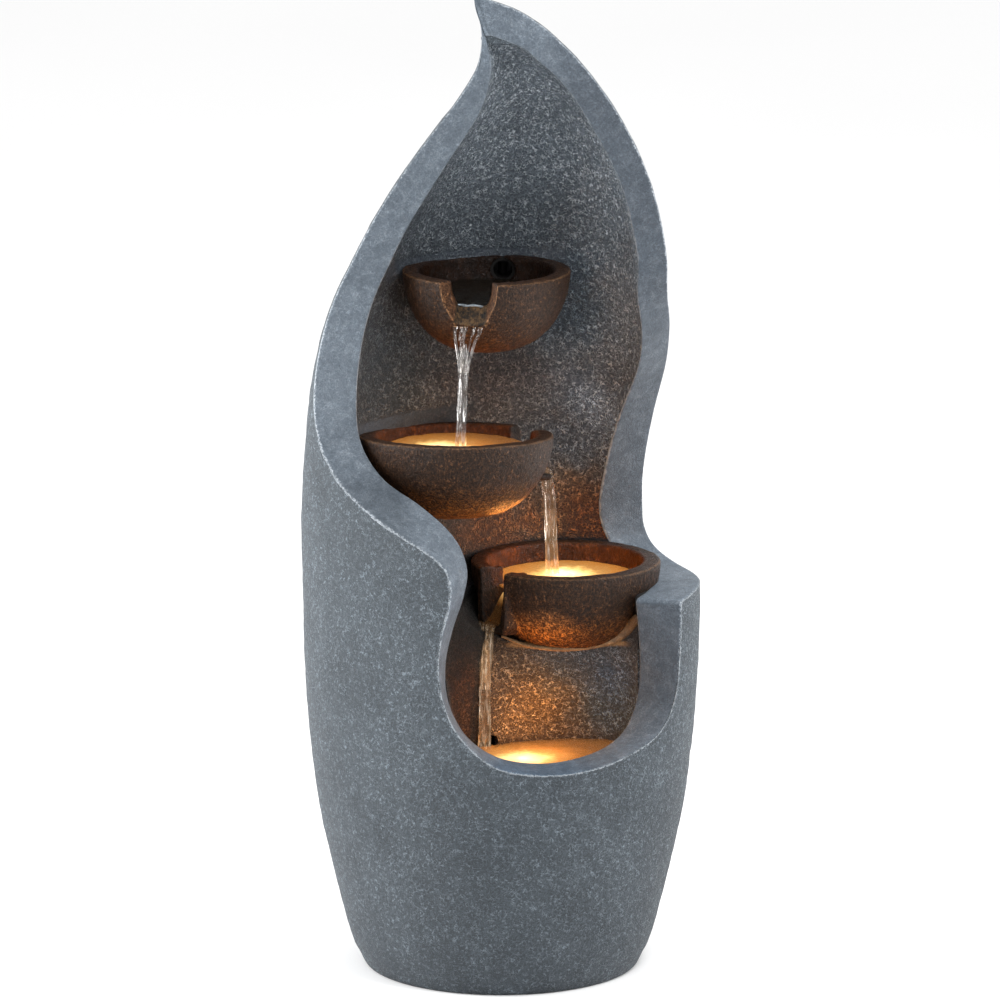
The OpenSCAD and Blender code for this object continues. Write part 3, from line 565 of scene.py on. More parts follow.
def make_wall():
    m, n = 290, 116
    r = np.linspace(0, len(REACH) - 1, m)
    f = 180 * (0.5 - 0.5 * np.cos(np.pi * (0.12 + 0.76 * np.linspace(0, 1, n))))
    f = 180 * (f - f[0]) / (f[-1] - f[0])
    Rg, Fg = np.meshgrid(r, f, indexing="ij")
    A = wall_pt(Rg, Fg, 0.0, 1.5)
    B = wall_pt(Rg, Fg, 4.0, 3.4)
    nrm = unit(B - A)
    fade = np.clip(np.minimum(Fg, 180 - Fg) / 7, 0, 1)
    wob = 0.55 * vnoise(A, 8.5, 11) + 0.34 * vnoise(A, 4.9, 12) + 0.7 * vnoise(A, 38, 13)
    A = A - nrm * (fade * wob - (1 - fade) * 0.25)[..., None]
    V, F = closed_pair(A, B)
    o = solid("wall", V, F)
    combine(o, [("DIFFERENCE", cavity("c1", 66.7, 63, at_upper, g=1)), ("DIFFERENCE", cavity("c2", 76.7, 64, at_middle, g=1)),
        ("DIFFERENCE", cavity("c3", 75, 71, at_lower, g=1)), ("DIFFERENCE", rod("c4", (1, 80, 543), (1, 125, 543), 10.2))])
    return finish(o, "recess_cast", angle=45, stands=("recess_wall",))


# ---------------------------------------------------------------- pool under the lower bowl
def make_pool():
    F = np.linspace(1.5, 178.5, 110)
    x = basin_back(LEDGE_Z, 0, F)[:, 0]
    up = np.interp(x, [-42, -32, -24, -14, -6, 4, 15, 28, 84, 94, 102, 112], [34, 31, 20, 11, 8, 4, 1.5, 0, 0, 3, 12, 24])
    front, back = [], []
    for z in np.concatenate([[162.5], np.linspace(168, 263.6, 44)]):
        zz = z + up * ((z - 162.5) / 101.1) ** 3
        front.append(basin_back(zz, 0, F))
        back.append(basin_back(zz, wall := 5.0, F))
    for q in np.linspace(0, 90, 6)[1:]:
        q = math.radians(q)
        front.append(basin_back(263.6 + up + 3.2 * math.sin(q), 3.2 * (1 - math.cos(q)), F))
        back.append(basin_back(261 + up - 0.01 * q, 5.0 + 0.05 * q, F))
    f = np.interp(F, [1.5, 90, 178.5], [16, 94, 168])
    far = wall_pt(np.zeros(len(f)), f, 1.5)
    edge = basin_back(266.8 + up, 3.2, F)
    under = basin_back(261.0 + up, 5.3, F)
    for q in (0.08, 0.2, 0.4, 0.6, 0.8, 1.0):
        P = edge * (1 - q) + far * q
        P[:, 2] = 266.8 + up + 0.2 * q
        front.append(P)
        Q = under * (1 - q) + far * q
        Q[:, 2] = 261 + up
        back.append(Q)
    A, B = np.stack(front), np.stack(back)
    wob = 0.4 * vnoise(A, 8.0, 21) + 0.28 * vnoise(A, 4.6, 22)
    dirn = unit(B - A)
    A = A - dirn * (wob * np.clip((np.arange(len(A)) - 1) / 4, 0, 1)[:, None] * np.clip((len(A) - np.arange(len(A)) - 2) / 6, 0, 1)[:, None])[..., None]
    V, Fc = closed_pair(A, B)
    o = solid("pool", V, Fc)
    # front wall behind the rim, up to the rim's inner edge
    t = np.linspace(-21, 67, 70)
    low = (s_fine > 19.5) & (s_fine < 29.4)
    e = along(EDGE, s_fine[low])
    top = np.interp(t, e[:, 2], e[:, 3], left=262, right=262)
    zs = np.linspace(0, 1, 12)
    G = np.stack([skin(t, np.full(len(t), 235.0), 31.0) * [1, 1, 0] + np.stack([0 * t, 0 * t, 162.5 + (np.minimum(top, 258) - 1.5 - 162.5) * q], -1) for q in zs])
    H = np.stack([skin(t, np.full(len(t), 235.0), 26.5) * [1, 1, 0] + np.stack([0 * t, 0 * t, 162.5 + (np.minimum(top, 258) - 1.5 - 162.5) * q], -1) for q in zs])
    Vf, Ff = closed_pair(G, H)
    arc = solid("arc", Vf, Ff)
    ring = np.concatenate([basin_back(165, 2.5, F)[:, :2], skin(np.linspace(66.5, -20.5, 40), np.full(40, 235.0), 28.5)[:, :2]])
    floor = extrude("floor", ring, 163, 168)
    combine(o, [("UNION", arc), ("UNION", floor), ("DIFFERENCE", rod("d1", (-14, -46, 150), (-14, -46, 175), 9.5)),
        ("DIFFERENCE", rod("d2", (30, -72, 150), (30, -72, 175), 6.2)), ("DIFFERENCE", rod("d4", (-8.0, -60, 187.0), (-8.0, -26, 187.0), 5.4)), ("DIFFERENCE", cavity("d3", 75, 71, at_lower, g=1))])
    # rounded lip of the ledge in front of the lower bowl
    lip_x = np.array([0, 8, 15, 24, 36, 50, 62, 76, 88, 97, 104, 108], float)
    lip_z = np.array([272.5, 269.5, 267.0, 265.2, 264.0, 263.4, 263.6, 265.0, 268.5, 275.0, 284.0, 291.0])
    lip_r = np.array([1.0, 1.3, 1.5, 1.6, 1.7, 1.8, 1.8, 2.2, 3.4, 4.6, 4.6, 3.4])
    W = basin_back(265.0, 0, np.linspace(1.5, 178.5, 200))
    W = W[np.argsort(W[:, 0])]
    q = np.linspace(0, len(lip_x) - 1, 90)
    k = np.arange(len(lip_x))
    xs, zs, rs = np.interp(q, k, lip_x), along(np.stack([lip_z, lip_z], 1), q)[:, 0], np.interp(q, k, lip_r)
    C = np.stack([xs, np.interp(xs, W[:, 0], W[:, 1]) + rs * 0.1, zs], -1)
    T = unit(np.gradient(C, axis=0))
    S = unit(np.cross(T, [0, 0, 1.0]))
    U = np.cross(S, T)
    a = np.linspace(0, 2 * math.pi, 20, endpoint=False)
    ring = C[:, None] + rs[:, None, None] * (np.cos(a)[None, :, None] * S[:, None] * 0.8 + np.sin(a)[None, :, None] * U[:, None])
    ring = ring + 0.22 * vnoise(ring, 5.0, 23)[..., None] * np.array([0, -1.0, 0.6])
    lp = finish(stack("lip", ring), "ledge_lip", angle=60)
    return finish(o, "pool_cast", angle=50, stands=("pool_basin", "pool_floor", "bowl_ledge")), lp


# ---------------------------------------------------------------- bowls
def bowl_out(r, h):
    a = np.radians(np.linspace(0, 90, 40))
    return np.stack([r * np.cos(a) ** 0.72, -h * np.minimum(1, np.sin(a) ** 1.12 / math.sin(math.radians(78)) ** 1.12)], -1)


def bowl_rad(d, r, h):
    p = bowl_out(r, h)
    return np.interp(d, -p[:, 1], p[:, 0])


def make_bowl(name, node, r, h, at, spouts, lips=(), led=None, inlet=False, seed=0, beak=None, shade=0.0, mid=0.55):
    w = 14
    prof = [[0, -h]] + bowl_out(r, h)[-2:0:-1].tolist()
    prof += [[r, -2.2], [r - 0.5, -0.8], [r - 1.9, 0], [r - w + 2.4, 0], [r - w + 0.7, -0.7], [r - w, -2.2]]
    inn = bowl_in(r, h, w)
    prof += [p for p in inn[1:-1].tolist() if p[1] < -2.6] + [[0, -(h - 12)]]
    o = revolve("bowl", prof, 144, at)
    ops = []
    for reach, nn, d, ang in lips:
        R = rot_z(ang)
        prf = np.array([[-nn / 2 - 2, 0], [nn / 2 + 2, 0], [nn / 2 + 1, -4], [nn / 2 - 3, -6], [-nn / 2 + 3, -6], [-nn / 2 - 1, -4]])
        rows = [np.stack([prf[:, 0], np.full(6, -y), prf[:, 1] - d + 0.0], -1) @ R.T for y in (reach * 0.45, reach - 1.5)] + [np.stack([prf[:, 0] * 0.93, np.full(6, -reach), (prf[:, 1] - d) * 1.0 + 0.0], -1) @ R.T]
        ops.append(("UNION", stack("lip", np.stack([at(q) for q in rows]))))
    if beak:                             # square spout that stands out of the bowl, full height
        hw, d, ang, end = beak
        R = rot_z(ang)
        prf = np.array([[-hw, -1.6], [hw, -1.6], [hw, -d], [hw - 5, -d - 7], [-hw + 5, -d - 7], [-hw, -d]])
        rows = []
        for y, q in ((r - 24, 1.0), (end - 3, 1.0), (end - 0.8, 0.97), (end, 0.90)):
            c = np.array([0, -d / 2])
            rows.append(np.stack([prf[:, 0] * q, np.full(6, -y), (prf[:, 1] - c[1]) * (1 - (1 - q) * 0.4) + c[1]], -1) @ R.T)
        ops.append(("UNION", stack("beak", np.stack([at(q) for q in rows]))))
    for wi, wo, nn, dz, ang, d0, y0, y1, flare in spouts:
        R = rot_z(ang)
        k = (wo - wi) / 2 / w
        rows = []
        for y in np.concatenate([[r * 0.28], np.linspace(r - w - 10, r + 14, 16)]):
            # width of the gap at the rim grows outwards; the floor keeps its width and falls towards the lip
            top = (wi / 2 + k * max(0, y - (r - w)))
            d = d0 + (dz - d0) * min(1, max(0, (y - y0) / (y1 - y0)))
            fl = flare * max(0, y - (r - 7))
            rows.append(np.array([[-nn / 2 + 2, -y, -d], [nn / 2 - 2, -y, -d], [nn / 2, -y, -d + 1.5], [nn / 2 + fl + (top - nn / 2) * mid, -y, -d * 0.45], [top + fl, -y, 0.5], [top + fl + 5, -y, 10], [-top - 5, -y, 10], [-top, -y, 0.5],
                [-nn / 2 - (top - nn / 2) * mid, -y, -d * 0.45], [-nn / 2, -y, -d + 1.5]]) @ R.T)
        ops.append(("DIFFERENCE", stack("sp", np.stack([at(q) for q in rows]))))
    if led:
        x, y, z = led
        ops.append(("DIFFERENCE", rod("l1", at(np.array([x, y, z - 11])), at(np.array([x, y, z + 20])), 6.2)))
        ops.append(("DIFFERENCE", rod("l2", at(np.array([x, y, z - 0.02])), at(np.array([x, y, z + 12])), 10.3)))
    if inlet:
        ops.append(("DIFFERENCE", rod("l3", (1, 78, 543), (1, 112, 543), 10.05)))
    combine(o, ops)
    remesh(o, 1.0, 3, 0.5)
    me = o.data
    V = verts(me)
    N = vnormals(me)
    inv = np.linalg.inv((at(np.eye(3)) - at(np.zeros((3, 3)))))
    P = (V - at(np.zeros((1, 3)))) @ inv
    rr = np.hypot(P[:, 0], P[:, 1])
    V = V + N * (0.20 * vnoise(V, 5.5, 30 + seed) + 0.14 * vnoise(V, 2.9, 40 + seed) + 0.4 * vnoise(V, 26, 50 + seed))[:, None]
    set_verts(me, V)
    edge = np.hypot(rr - r, np.minimum(P[:, 2], 0))
    ro = bowl_rad(-P[:, 2], r, h)
    put_attr(me, "depth", np.where(rr > bowl_rad(-P[:, 2], r, h) + 2.5, 18, -P[:, 2]))
    wet, cheek = np.zeros(len(V)), np.zeros(len(V))
    for wi, wo, nn, dz, ang, d0, y0, y1, flare in spouts:
        Q = P @ rot_z(ang)
        run = np.clip((-Q[:, 1] - y0) / (y1 - y0), 0, 1)
        floor_z = -(d0 + (dz - d0) * run)
        near_floor = np.clip((floor_z + 2.6 - P[:, 2]) / 1.2, 0, 1) * (P[:, 2] > floor_z - 1.2)
        wet = np.maximum(wet, near_floor * (np.abs(Q[:, 0]) < nn / 2 + 2) * (-Q[:, 1] > r - w - 8))
        half = wi / 2 + (wo - wi) / 2 / w * np.maximum(0, -Q[:, 1] - (r - w))
        top = wi / 2 + (wo - wi) / 2 / w * np.maximum(0, np.sqrt(np.maximum(ro ** 2 - Q[:, 0] ** 2, 0)) - (r - w))
        cut = np.interp(-P[:, 2], [0, dz * 0.45, dz - 1.5], [0, 1, 2])
        cut = np.where(cut < 1, top + (nn / 2 + (top - nn / 2) * mid - top) * cut, nn / 2 + (top - nn / 2) * mid * (2 - cut))
        side_in = np.clip((cut + 1.2 - np.abs(Q[:, 0])) / 1.5, 0, 1) * (-Q[:, 1] > r - w - 8) * (P[:, 2] < -1.0) * (P[:, 2] > -dz + 2)
        cheek = cheek + shade * (np.clip((half + 2.2 - np.abs(Q[:, 0])) / 1.5, 0, 1) * (-Q[:, 1] > r - w - 8) * (P[:, 2] < -1.0) if shade > 0 else side_in * np.clip((rr - (ro - w) + 1) / 3, 0, 1))
        if not beak:
            front = np.where((-Q[:, 1] > 0) & (P[:, 2] > -dz) & (P[:, 2] < 0), 0, 99)
            edge = np.minimum(edge, np.hypot(np.abs(Q[:, 0]) - cut, rr - ro) + 0.5 + front)
    cheek = cheek * (1 - np.clip(wet * 3, 0, 1)) if shade < 0 else cheek
    put_attr(me, "edge", edge)
    put_attr(me, "wet", wet)
    put_attr(me, "cheek", cheek)
    ri = np.interp(-P[:, 2], -inn[::-1, 1][::-1], inn[:, 0])
    put_attr(me, "inside", np.clip((ri + 5 - rr) / 4, 0, 1) * (P[:, 2] > -(h - 8)))
    return finish(o, name, angle=60, stands=(node,))


# ---------------------------------------------------------------- water
def water_disc(name, C, at, r, level, hit, flow=None, seed=0):
    """thin closed sheet of water with ripples; level is measured down from the rim, upright"""
    nr, na = 70, 160
    rad = (np.linspace(0, 1, nr) ** 0.9)[:, None] * r
    a = np.linspace(0, 2 * math.pi, na, endpoint=False)[None, :]
    X, Y = rad * np.cos(a) + C[0], rad * np.sin(a) + C[1]
    Z = np.full_like(X, C[2] - level)
    d = np.hypot(X - hit[0], Y - hit[1])
    Z = Z + 0.9 * np.exp(-d / 16) * np.cos(d * 1.25) + 0.35 * vnoise(np.stack([X, Y, Z], -1), 9, 60 + seed) + 0.2 * vnoise(np.stack([X, Y, Z], -1), 4.2, 61 + seed)
    top = np.stack([X, Y, Z], -1)[1:]
    bot = top - [0, 0, 1.3]
    m = nr - 1
    V = np.concatenate([top.reshape(-1, 3), bot.reshape(-1, 3), [[C[0], C[1], C[2] - level]], [[C[0], C[1], C[2] - level - 1.3]]])
    k = m * na
    j = np.arange(na)
    j2 = (j + 1) % na
    F = [grid_faces(m, na, wrap_n=True), grid_faces(m, na, k, wrap_n=True, flip=True), np.stack([j, j2, 0 * j + 2 * k], -1), np.stack([j2 + k, j + k, 0 * j + 2 * k + 1], -1),
        np.stack([(m - 1) * na + j, (m - 1) * na + j2, (m - 1) * na + j2 + k, (m - 1) * na + j + k], -1)]
    o = solid("w", V, F)
    return finish(o, name)


def stream(name, path, widths, thicks, sides, seed=0, lobes=5, wave=0.22):
    """a falling sheet of water: path points, width and thickness there, and the direction across it"""
    path, sides = np.array(path, float), unit(np.array(sides, float))
    s = np.linspace(0, len(path) - 1, 150)
    P = along(path, s)
    W, T = np.interp(s, range(len(path)), widths), np.interp(s, range(len(path)), thicks)
    tan = unit(np.gradient(P, axis=0))
    S = np.stack([np.interp(s, range(len(path)), sides[:, k]) for k in range(3)], -1)
    S = unit(S - tan * np.sum(S * tan, -1, keepdims=True))
    B = np.cross(tan, S)
    n = 40
    a = np.linspace(0, 2 * math.pi, n, endpoint=False)[None, :]
    L = np.concatenate([[0], np.cumsum(np.linalg.norm(np.diff(P, axis=0), axis=1))])[:, None]
    mod = 1 + wave * np.sin(lobes * a + 0.05 * L + 1.3 * seed) + 0.5 * wave * np.sin((lobes + 3) * a - 0.11 * L + seed)
    grow = 1 + 0.10 * vnoise(np.stack([L + 0 * a, 3 * np.cos(a) + 0 * L, 3 * np.sin(a) + 0 * L], -1), 7.0, 70 + seed)
    fall = np.clip(L / 30, 0.25, 1)
    x, y = np.cos(a) * W[:, None] / 2 * (1 + (grow - 1) * fall), np.sin(a) * T[:, None] / 2 * (1 + (mod - 1) * 1.6) * grow
    V = P[:, None] + x[..., None] * S[:, None] + y[..., None] * B[:, None]
    o = stack("st", V)
    put_attr(o.data, "len", np.repeat(L[:, 0], n))
    return finish(o, name, angle=70)


# ---------------------------------------------------------------- materials
class Mat:
    def __init__(self, name):
        self.m = bpy.data.materials.new(name)
        self.m.use_nodes = True
        self.t = self.m.node_tree
        self.t.nodes.clear()
        out = self.t.nodes.new("ShaderNodeOutputMaterial")
        self.b = self.t.nodes.new("ShaderNodeBsdfPrincipled")
        self.t.links.new(self.b.outputs[0], out.inputs[0])
        tc = self.t.nodes.new("ShaderNodeTexCoord")
        self.obj = self.vm("MULTIPLY", tc.outputs["Object"], (1000, 1000, 1000))
        self.xyz = self.node("ShaderNodeSeparateXYZ", {0: self.obj}).outputs

    def node(self, kind, ins=None, **props):
        n = self.t.nodes.new(kind)
        for k, v in props.items():
            setattr(n, k, v)
        for k, v in (ins or {}).items():
            self.put(n.inputs[k], v)
        return n

    def put(self, sock, v):
        if isinstance(v, bpy.types.NodeSocket):
            self.t.links.new(v, sock)
        elif sock.type == "RGBA" and len(v) == 3:
            sock.default_value = (*v, 1)
        else:
            sock.default_value = v

    def set(self, **kw):
        for k, v in kw.items():
            self.put(self.b.inputs[k.replace("_", " ")], v)
        return self

    def math(self, op, a, b=0.0, c=0.0, clamp=False):
        return self.node("ShaderNodeMath", {0: a, 1: b, 2: c}, operation=op, use_clamp=clamp).outputs[0]

    def vm(self, op, a, b):
        return self.node("ShaderNodeVectorMath", {0: a, 1: b}, operation=op).outputs[0]

    def noise(self, size, detail=2.0, rough=0.5, vec=None, dist=0.0, kind="FBM"):
        n = self.node("ShaderNodeTexNoise", {"Vector": vec or self.obj, "Scale": 1 / size, "Detail": detail, "Roughness": rough, "Distortion": dist})
        n.noise_type = kind
        return n.outputs["Fac"]

    def noise_col(self, size, detail=2.0, vec=None):
        return self.node("ShaderNodeTexNoise", {"Vector": vec or self.obj, "Scale": 1 / size, "Detail": detail}).outputs["Color"]

    def voro(self, size, feature="DISTANCE_TO_EDGE", vec=None, rnd=1.0):
        n = self.t.nodes.new("ShaderNodeTexVoronoi")
        n.feature = feature
        self.put(n.inputs["Vector"], vec or self.obj)
        self.put(n.inputs["Scale"], 1 / size)
        self.put(n.inputs["Randomness"], rnd)
        return n.outputs["Distance"]

    def warp(self, size, amount, detail=1.0):
        c = self.noise_col(size, detail)
        c = self.vm("SUBTRACT", c, (0.5, 0.5, 0.5))
        return self.vm("ADD", self.obj, self.vm("MULTIPLY", c, (amount, amount, amount)))

    def smooth(self, x, a, b, lo=0.0, hi=1.0):
        n = self.node("ShaderNodeMapRange", {0: x, 1: a, 2: b, 3: lo, 4: hi}, interpolation_type="SMOOTHSTEP")
        return n.outputs[0]

    def mix(self, f, a, b, mode="MIX"):
        n = self.node("ShaderNodeMix", data_type="RGBA", blend_type=mode, clamp_factor=True)
        for i, v in ((0, f), (6, a), (7, b)):
            self.put(n.inputs[i], v)
        return n.outputs[2]

    def ramp(self, f, stops):
        n = self.node("ShaderNodeValToRGB", {0: f})
        e = n.color_ramp.elements
        while len(e) < len(stops):
            e.new(0.5)
        for x, (p, c) in zip(e, stops):
            x.position, x.color = p, (*c, 1)
        return n.outputs[0]

    def attr(self, name):
        return self.node("ShaderNodeAttribute", attribute_name=name).outputs["Fac"]

    def painted_lighting_tint(self, col, *spots):
        """soft-edged patches of painted light and shade: centre x, z, half widths in x and z, and the factor on the
        colour
        """
        wob = self.math("MULTIPLY", self.math("SUBTRACT", self.noise(16, 2.0, 0.5), 0.5), 0.9)
        for cx, cz, rx, rz, f in spots:
            v = self.vm("MULTIPLY", self.vm("SUBTRACT", self.obj, (cx, 0, cz)), (1 / rx, 0, 1 / rz))
            d = self.node("ShaderNodeVectorMath", {0: v}, operation="LENGTH").outputs["Value"]
            col = self.mix(1.0, col, self.mix(self.smooth(self.math("ADD", d, wob), 1.4, 0.4), (1.0, 1.0, 1.0), f), "MULTIPLY")
        return col

    def bump(self, height, dist, strength=1.0, normal=None):
        n = self.node("ShaderNodeBump", {"Height": height, "Distance": dist / 1000, "Strength": strength})
        if normal:
            self.put(n.inputs["Normal"], normal)
        return n.outputs[0]


def lin(r, g, b):
    return tuple(((c / 255 + 0.055) / 1.055) ** 2.4 if c > 10 else c / 255 / 12.92 for c in (r, g, b))


def crackle(M, size, warp=1.0):
    """short worm-like ridges of a brushed casting: about 0.35 on the ground, 0 in the pits, 1 on the ridges"""
    w = M.warp(size * 2.0, size * 1.3 * warp, 1.0)
    n1 = M.noise(size * 1.5, 1.0, 0.5, vec=w)
    n2 = M.noise(size * 1.9, 1.0, 0.5, vec=M.vm("ADD", w, (37.3, 11.9, 5.7)))
    f1 = M.math("SUBTRACT", 1.0, M.math("MULTIPLY", M.math("ABSOLUTE", M.math("SUBTRACT", n1, 0.53)), 13.0), clamp=True)
    f2 = M.math("SUBTRACT", 1.0, M.math("MULTIPLY", M.math("ABSOLUTE", M.math("SUBTRACT", n2, 0.54)), 14.0), clamp=True)
    net = M.math("SMOOTH_MAX", f1, M.math("MULTIPLY", f2, 0.8), 0.15)
    fine = M.noise(size * 0.45, 2.0, 0.6)
    gap = M.smooth(M.noise(size * 2.0, 2.0, 0.5), 0.40, 0.62)
    h = M.math("MULTIPLY", net, M.math("MULTIPLY_ADD", gap, 0.28, 0.30))
    return M.math("ADD", h, M.math("MULTIPLY_ADD", fine, 0.62, -0.02)), fine


def casting_mat(name="casting", base=(0.050, 0.0635, 0.076), edge=True):
    M = Mat(name)
    h, fine = crackle(M, 1.9)
    big = M.noise(55, 3.0, 0.55)
    mid = M.noise(14, 3.0, 0.6)
    b = np.array(base)
    col = M.ramp(h, [(0.20, tuple(b * 0.58)), (0.36, tuple(b * 0.97)), (0.56, tuple(b * 1.30)), (0.80, tuple(b * 3.2 + 0.035))])
    col = M.mix(1.0, col, M.ramp(big, [(0.25, (0.80, 0.81, 0.82)), (0.75, (1.16, 1.15, 1.14))]), "MULTIPLY")
    col = M.mix(1.0, col, M.ramp(mid, [(0.25, (0.88, 0.88, 0.88)), (0.75, (1.10, 1.10, 1.10))]), "MULTIPLY")
    col = M.mix(1.0, col, M.ramp(M.math("MULTIPLY_ADD", M.math("ADD", M.xyz[2], M.math("MULTIPLY", M.math("SUBTRACT", big, 0.5), 160.0)), 0.0025, 0.0), [(0.0, (0.80, 0.80, 0.81)), (0.75, (1.04, 1.04, 1.04))]), "MULTIPLY")
    if edge:
        e = M.attr("edge")
        j = M.math("MULTIPLY", M.math("SUBTRACT", M.noise(2.0, 3.0, 0.7), 0.47), 4.4)
        worn = M.smooth(M.math("SUBTRACT", e, j), 0.9, 0.1)
        col = M.mix(M.math("MULTIPLY", worn, 0.85), col, (0.40, 0.44, 0.48))
    low = M.smooth(M.math("ADD", M.xyz[2], M.math("MULTIPLY", mid, 14.0)), 16.0, 4.0)
    col = M.mix(M.math("MULTIPLY", low, 0.35), col, tuple(b * 0.45))
    M.set(Base_Color=col, Roughness=M.ramp(h, [(0.1, (0.72,) * 3), (0.9, (0.46,) * 3)]), Normal=M.bump(h, 1.7, 1.0))
    M.b.inputs["Specular IOR Level"].default_value = 0.42
    return M.m


def rim_mat():
    M = Mat("rim")
    g = M.noise(1.1, 3.0, 0.65)
    m1 = M.noise(9.0, 4.0, 0.62, dist=0.6)
    m2 = M.noise(34, 3.0, 0.5)
    h, _ = crackle(M, 1.8)
    f = M.math("ADD", M.math("MULTIPLY", g, 0.45), M.math("MULTIPLY", m1, 0.55))
    col = M.ramp(f, [(0.27, (0.052, 0.068, 0.087)), (0.5, (0.092, 0.115, 0.142)), (0.74, (0.185, 0.215, 0.248))])
    col = M.mix(1.0, col, M.ramp(m2, [(0.3, (0.84, 0.85, 0.86)), (0.7, (1.14, 1.13, 1.12))]), "MULTIPLY")
    col = M.mix(0.75, col, M.ramp(h, [(0.20, (0.62, 0.62, 0.62)), (0.36, (0.97, 0.97, 0.97)), (0.58, (1.10, 1.10, 1.10)), (0.82, (1.75, 1.72, 1.68))]), "MULTIPLY")
    # painted shade: the rim's foot above the pool darkened and cooled to offset the pool lamp's warm light
    pool_lamp_offset_shade = M.math("MULTIPLY", M.smooth(M.xyz[2], 206.0, 190.0), M.math("MULTIPLY", M.smooth(M.xyz[0], -45.0, -15.0), M.smooth(M.xyz[0], 85.0, 45.0)))
    col = M.mix(1.0, col, M.mix(pool_lamp_offset_shade, (1.0, 1.0, 1.0), (0.70, 0.90, 1.06)), "MULTIPLY")
    # painted shade: the left rim darker between 300 and 430 mm, beside the middle bowl
    col = M.mix(1.0, col, M.mix(M.math("MULTIPLY", M.smooth(M.xyz[2], 430.0, 395.0), M.math("MULTIPLY", M.smooth(M.xyz[2], 300.0, 345.0), M.smooth(M.xyz[0], -60.0, -85.0))), (1.0, 1.0, 1.0), (0.66, 0.67, 0.68)), "MULTIPLY")
    col = M.mix(1.0, col, M.mix(M.smooth(M.xyz[2], 700.0, 745.0), (1.0, 1.0, 1.0), (1.16, 1.16, 1.16)), "MULTIPLY")
    nz = M.node("ShaderNodeSeparateXYZ", {0: M.node("ShaderNodeNewGeometry").outputs["Normal"]}).outputs[2]
    shade = M.math("MULTIPLY", M.smooth(M.xyz[0], 15.0, 75.0), M.smooth(nz, 0.75, 0.3))
    shade = M.math("MULTIPLY", shade, M.smooth(M.xyz[2], 770.0, 735.0))
    col = M.mix(1.0, col, M.mix(shade, (1.0, 1.0, 1.0), (0.62, 0.63, 0.65)), "MULTIPLY")
    # painted light: upward-facing faces on the right of the rim lighter, as lit from above
    painted_top_light = M.math("MULTIPLY", M.smooth(nz, 0.80, 0.96), M.smooth(M.xyz[0], 60.0, 100.0))
    col = M.mix(1.0, col, M.mix(painted_top_light, (1.0, 1.0, 1.0), (1.22, 1.22, 1.22)), "MULTIPLY")
    jit = M.math("MULTIPLY", M.math("SUBTRACT", M.noise(2.2, 3.0, 0.7), 0.47), 4.0)
    worn = M.smooth(M.math("SUBTRACT", M.attr("edge"), jit), 0.9, 0.1)
    col = M.mix(M.math("MULTIPLY", worn, 0.85), col, (0.40, 0.44, 0.48))
    jit2 = M.math("MULTIPLY", M.math("SUBTRACT", M.noise(5.0, 3.0, 0.6), 0.5), 2.4)
    thin = M.smooth(M.math("SUBTRACT", M.attr("edge_in"), jit2), 1.2, 0.2)
    col = M.mix(M.math("MULTIPLY", thin, 0.62), col, (0.30, 0.33, 0.36))
    hh = M.math("ADD", M.math("MULTIPLY", g, 0.5), M.math("MULTIPLY", h, 0.35))
    M.set(Base_Color=col, Roughness=M.ramp(f, [(0.2, (0.62,) * 3), (0.8, (0.48,) * 3)]), Normal=M.bump(hh, 1.1, 1.0))
    M.b.inputs["Specular IOR Level"].default_value = 0.42
    return M.m


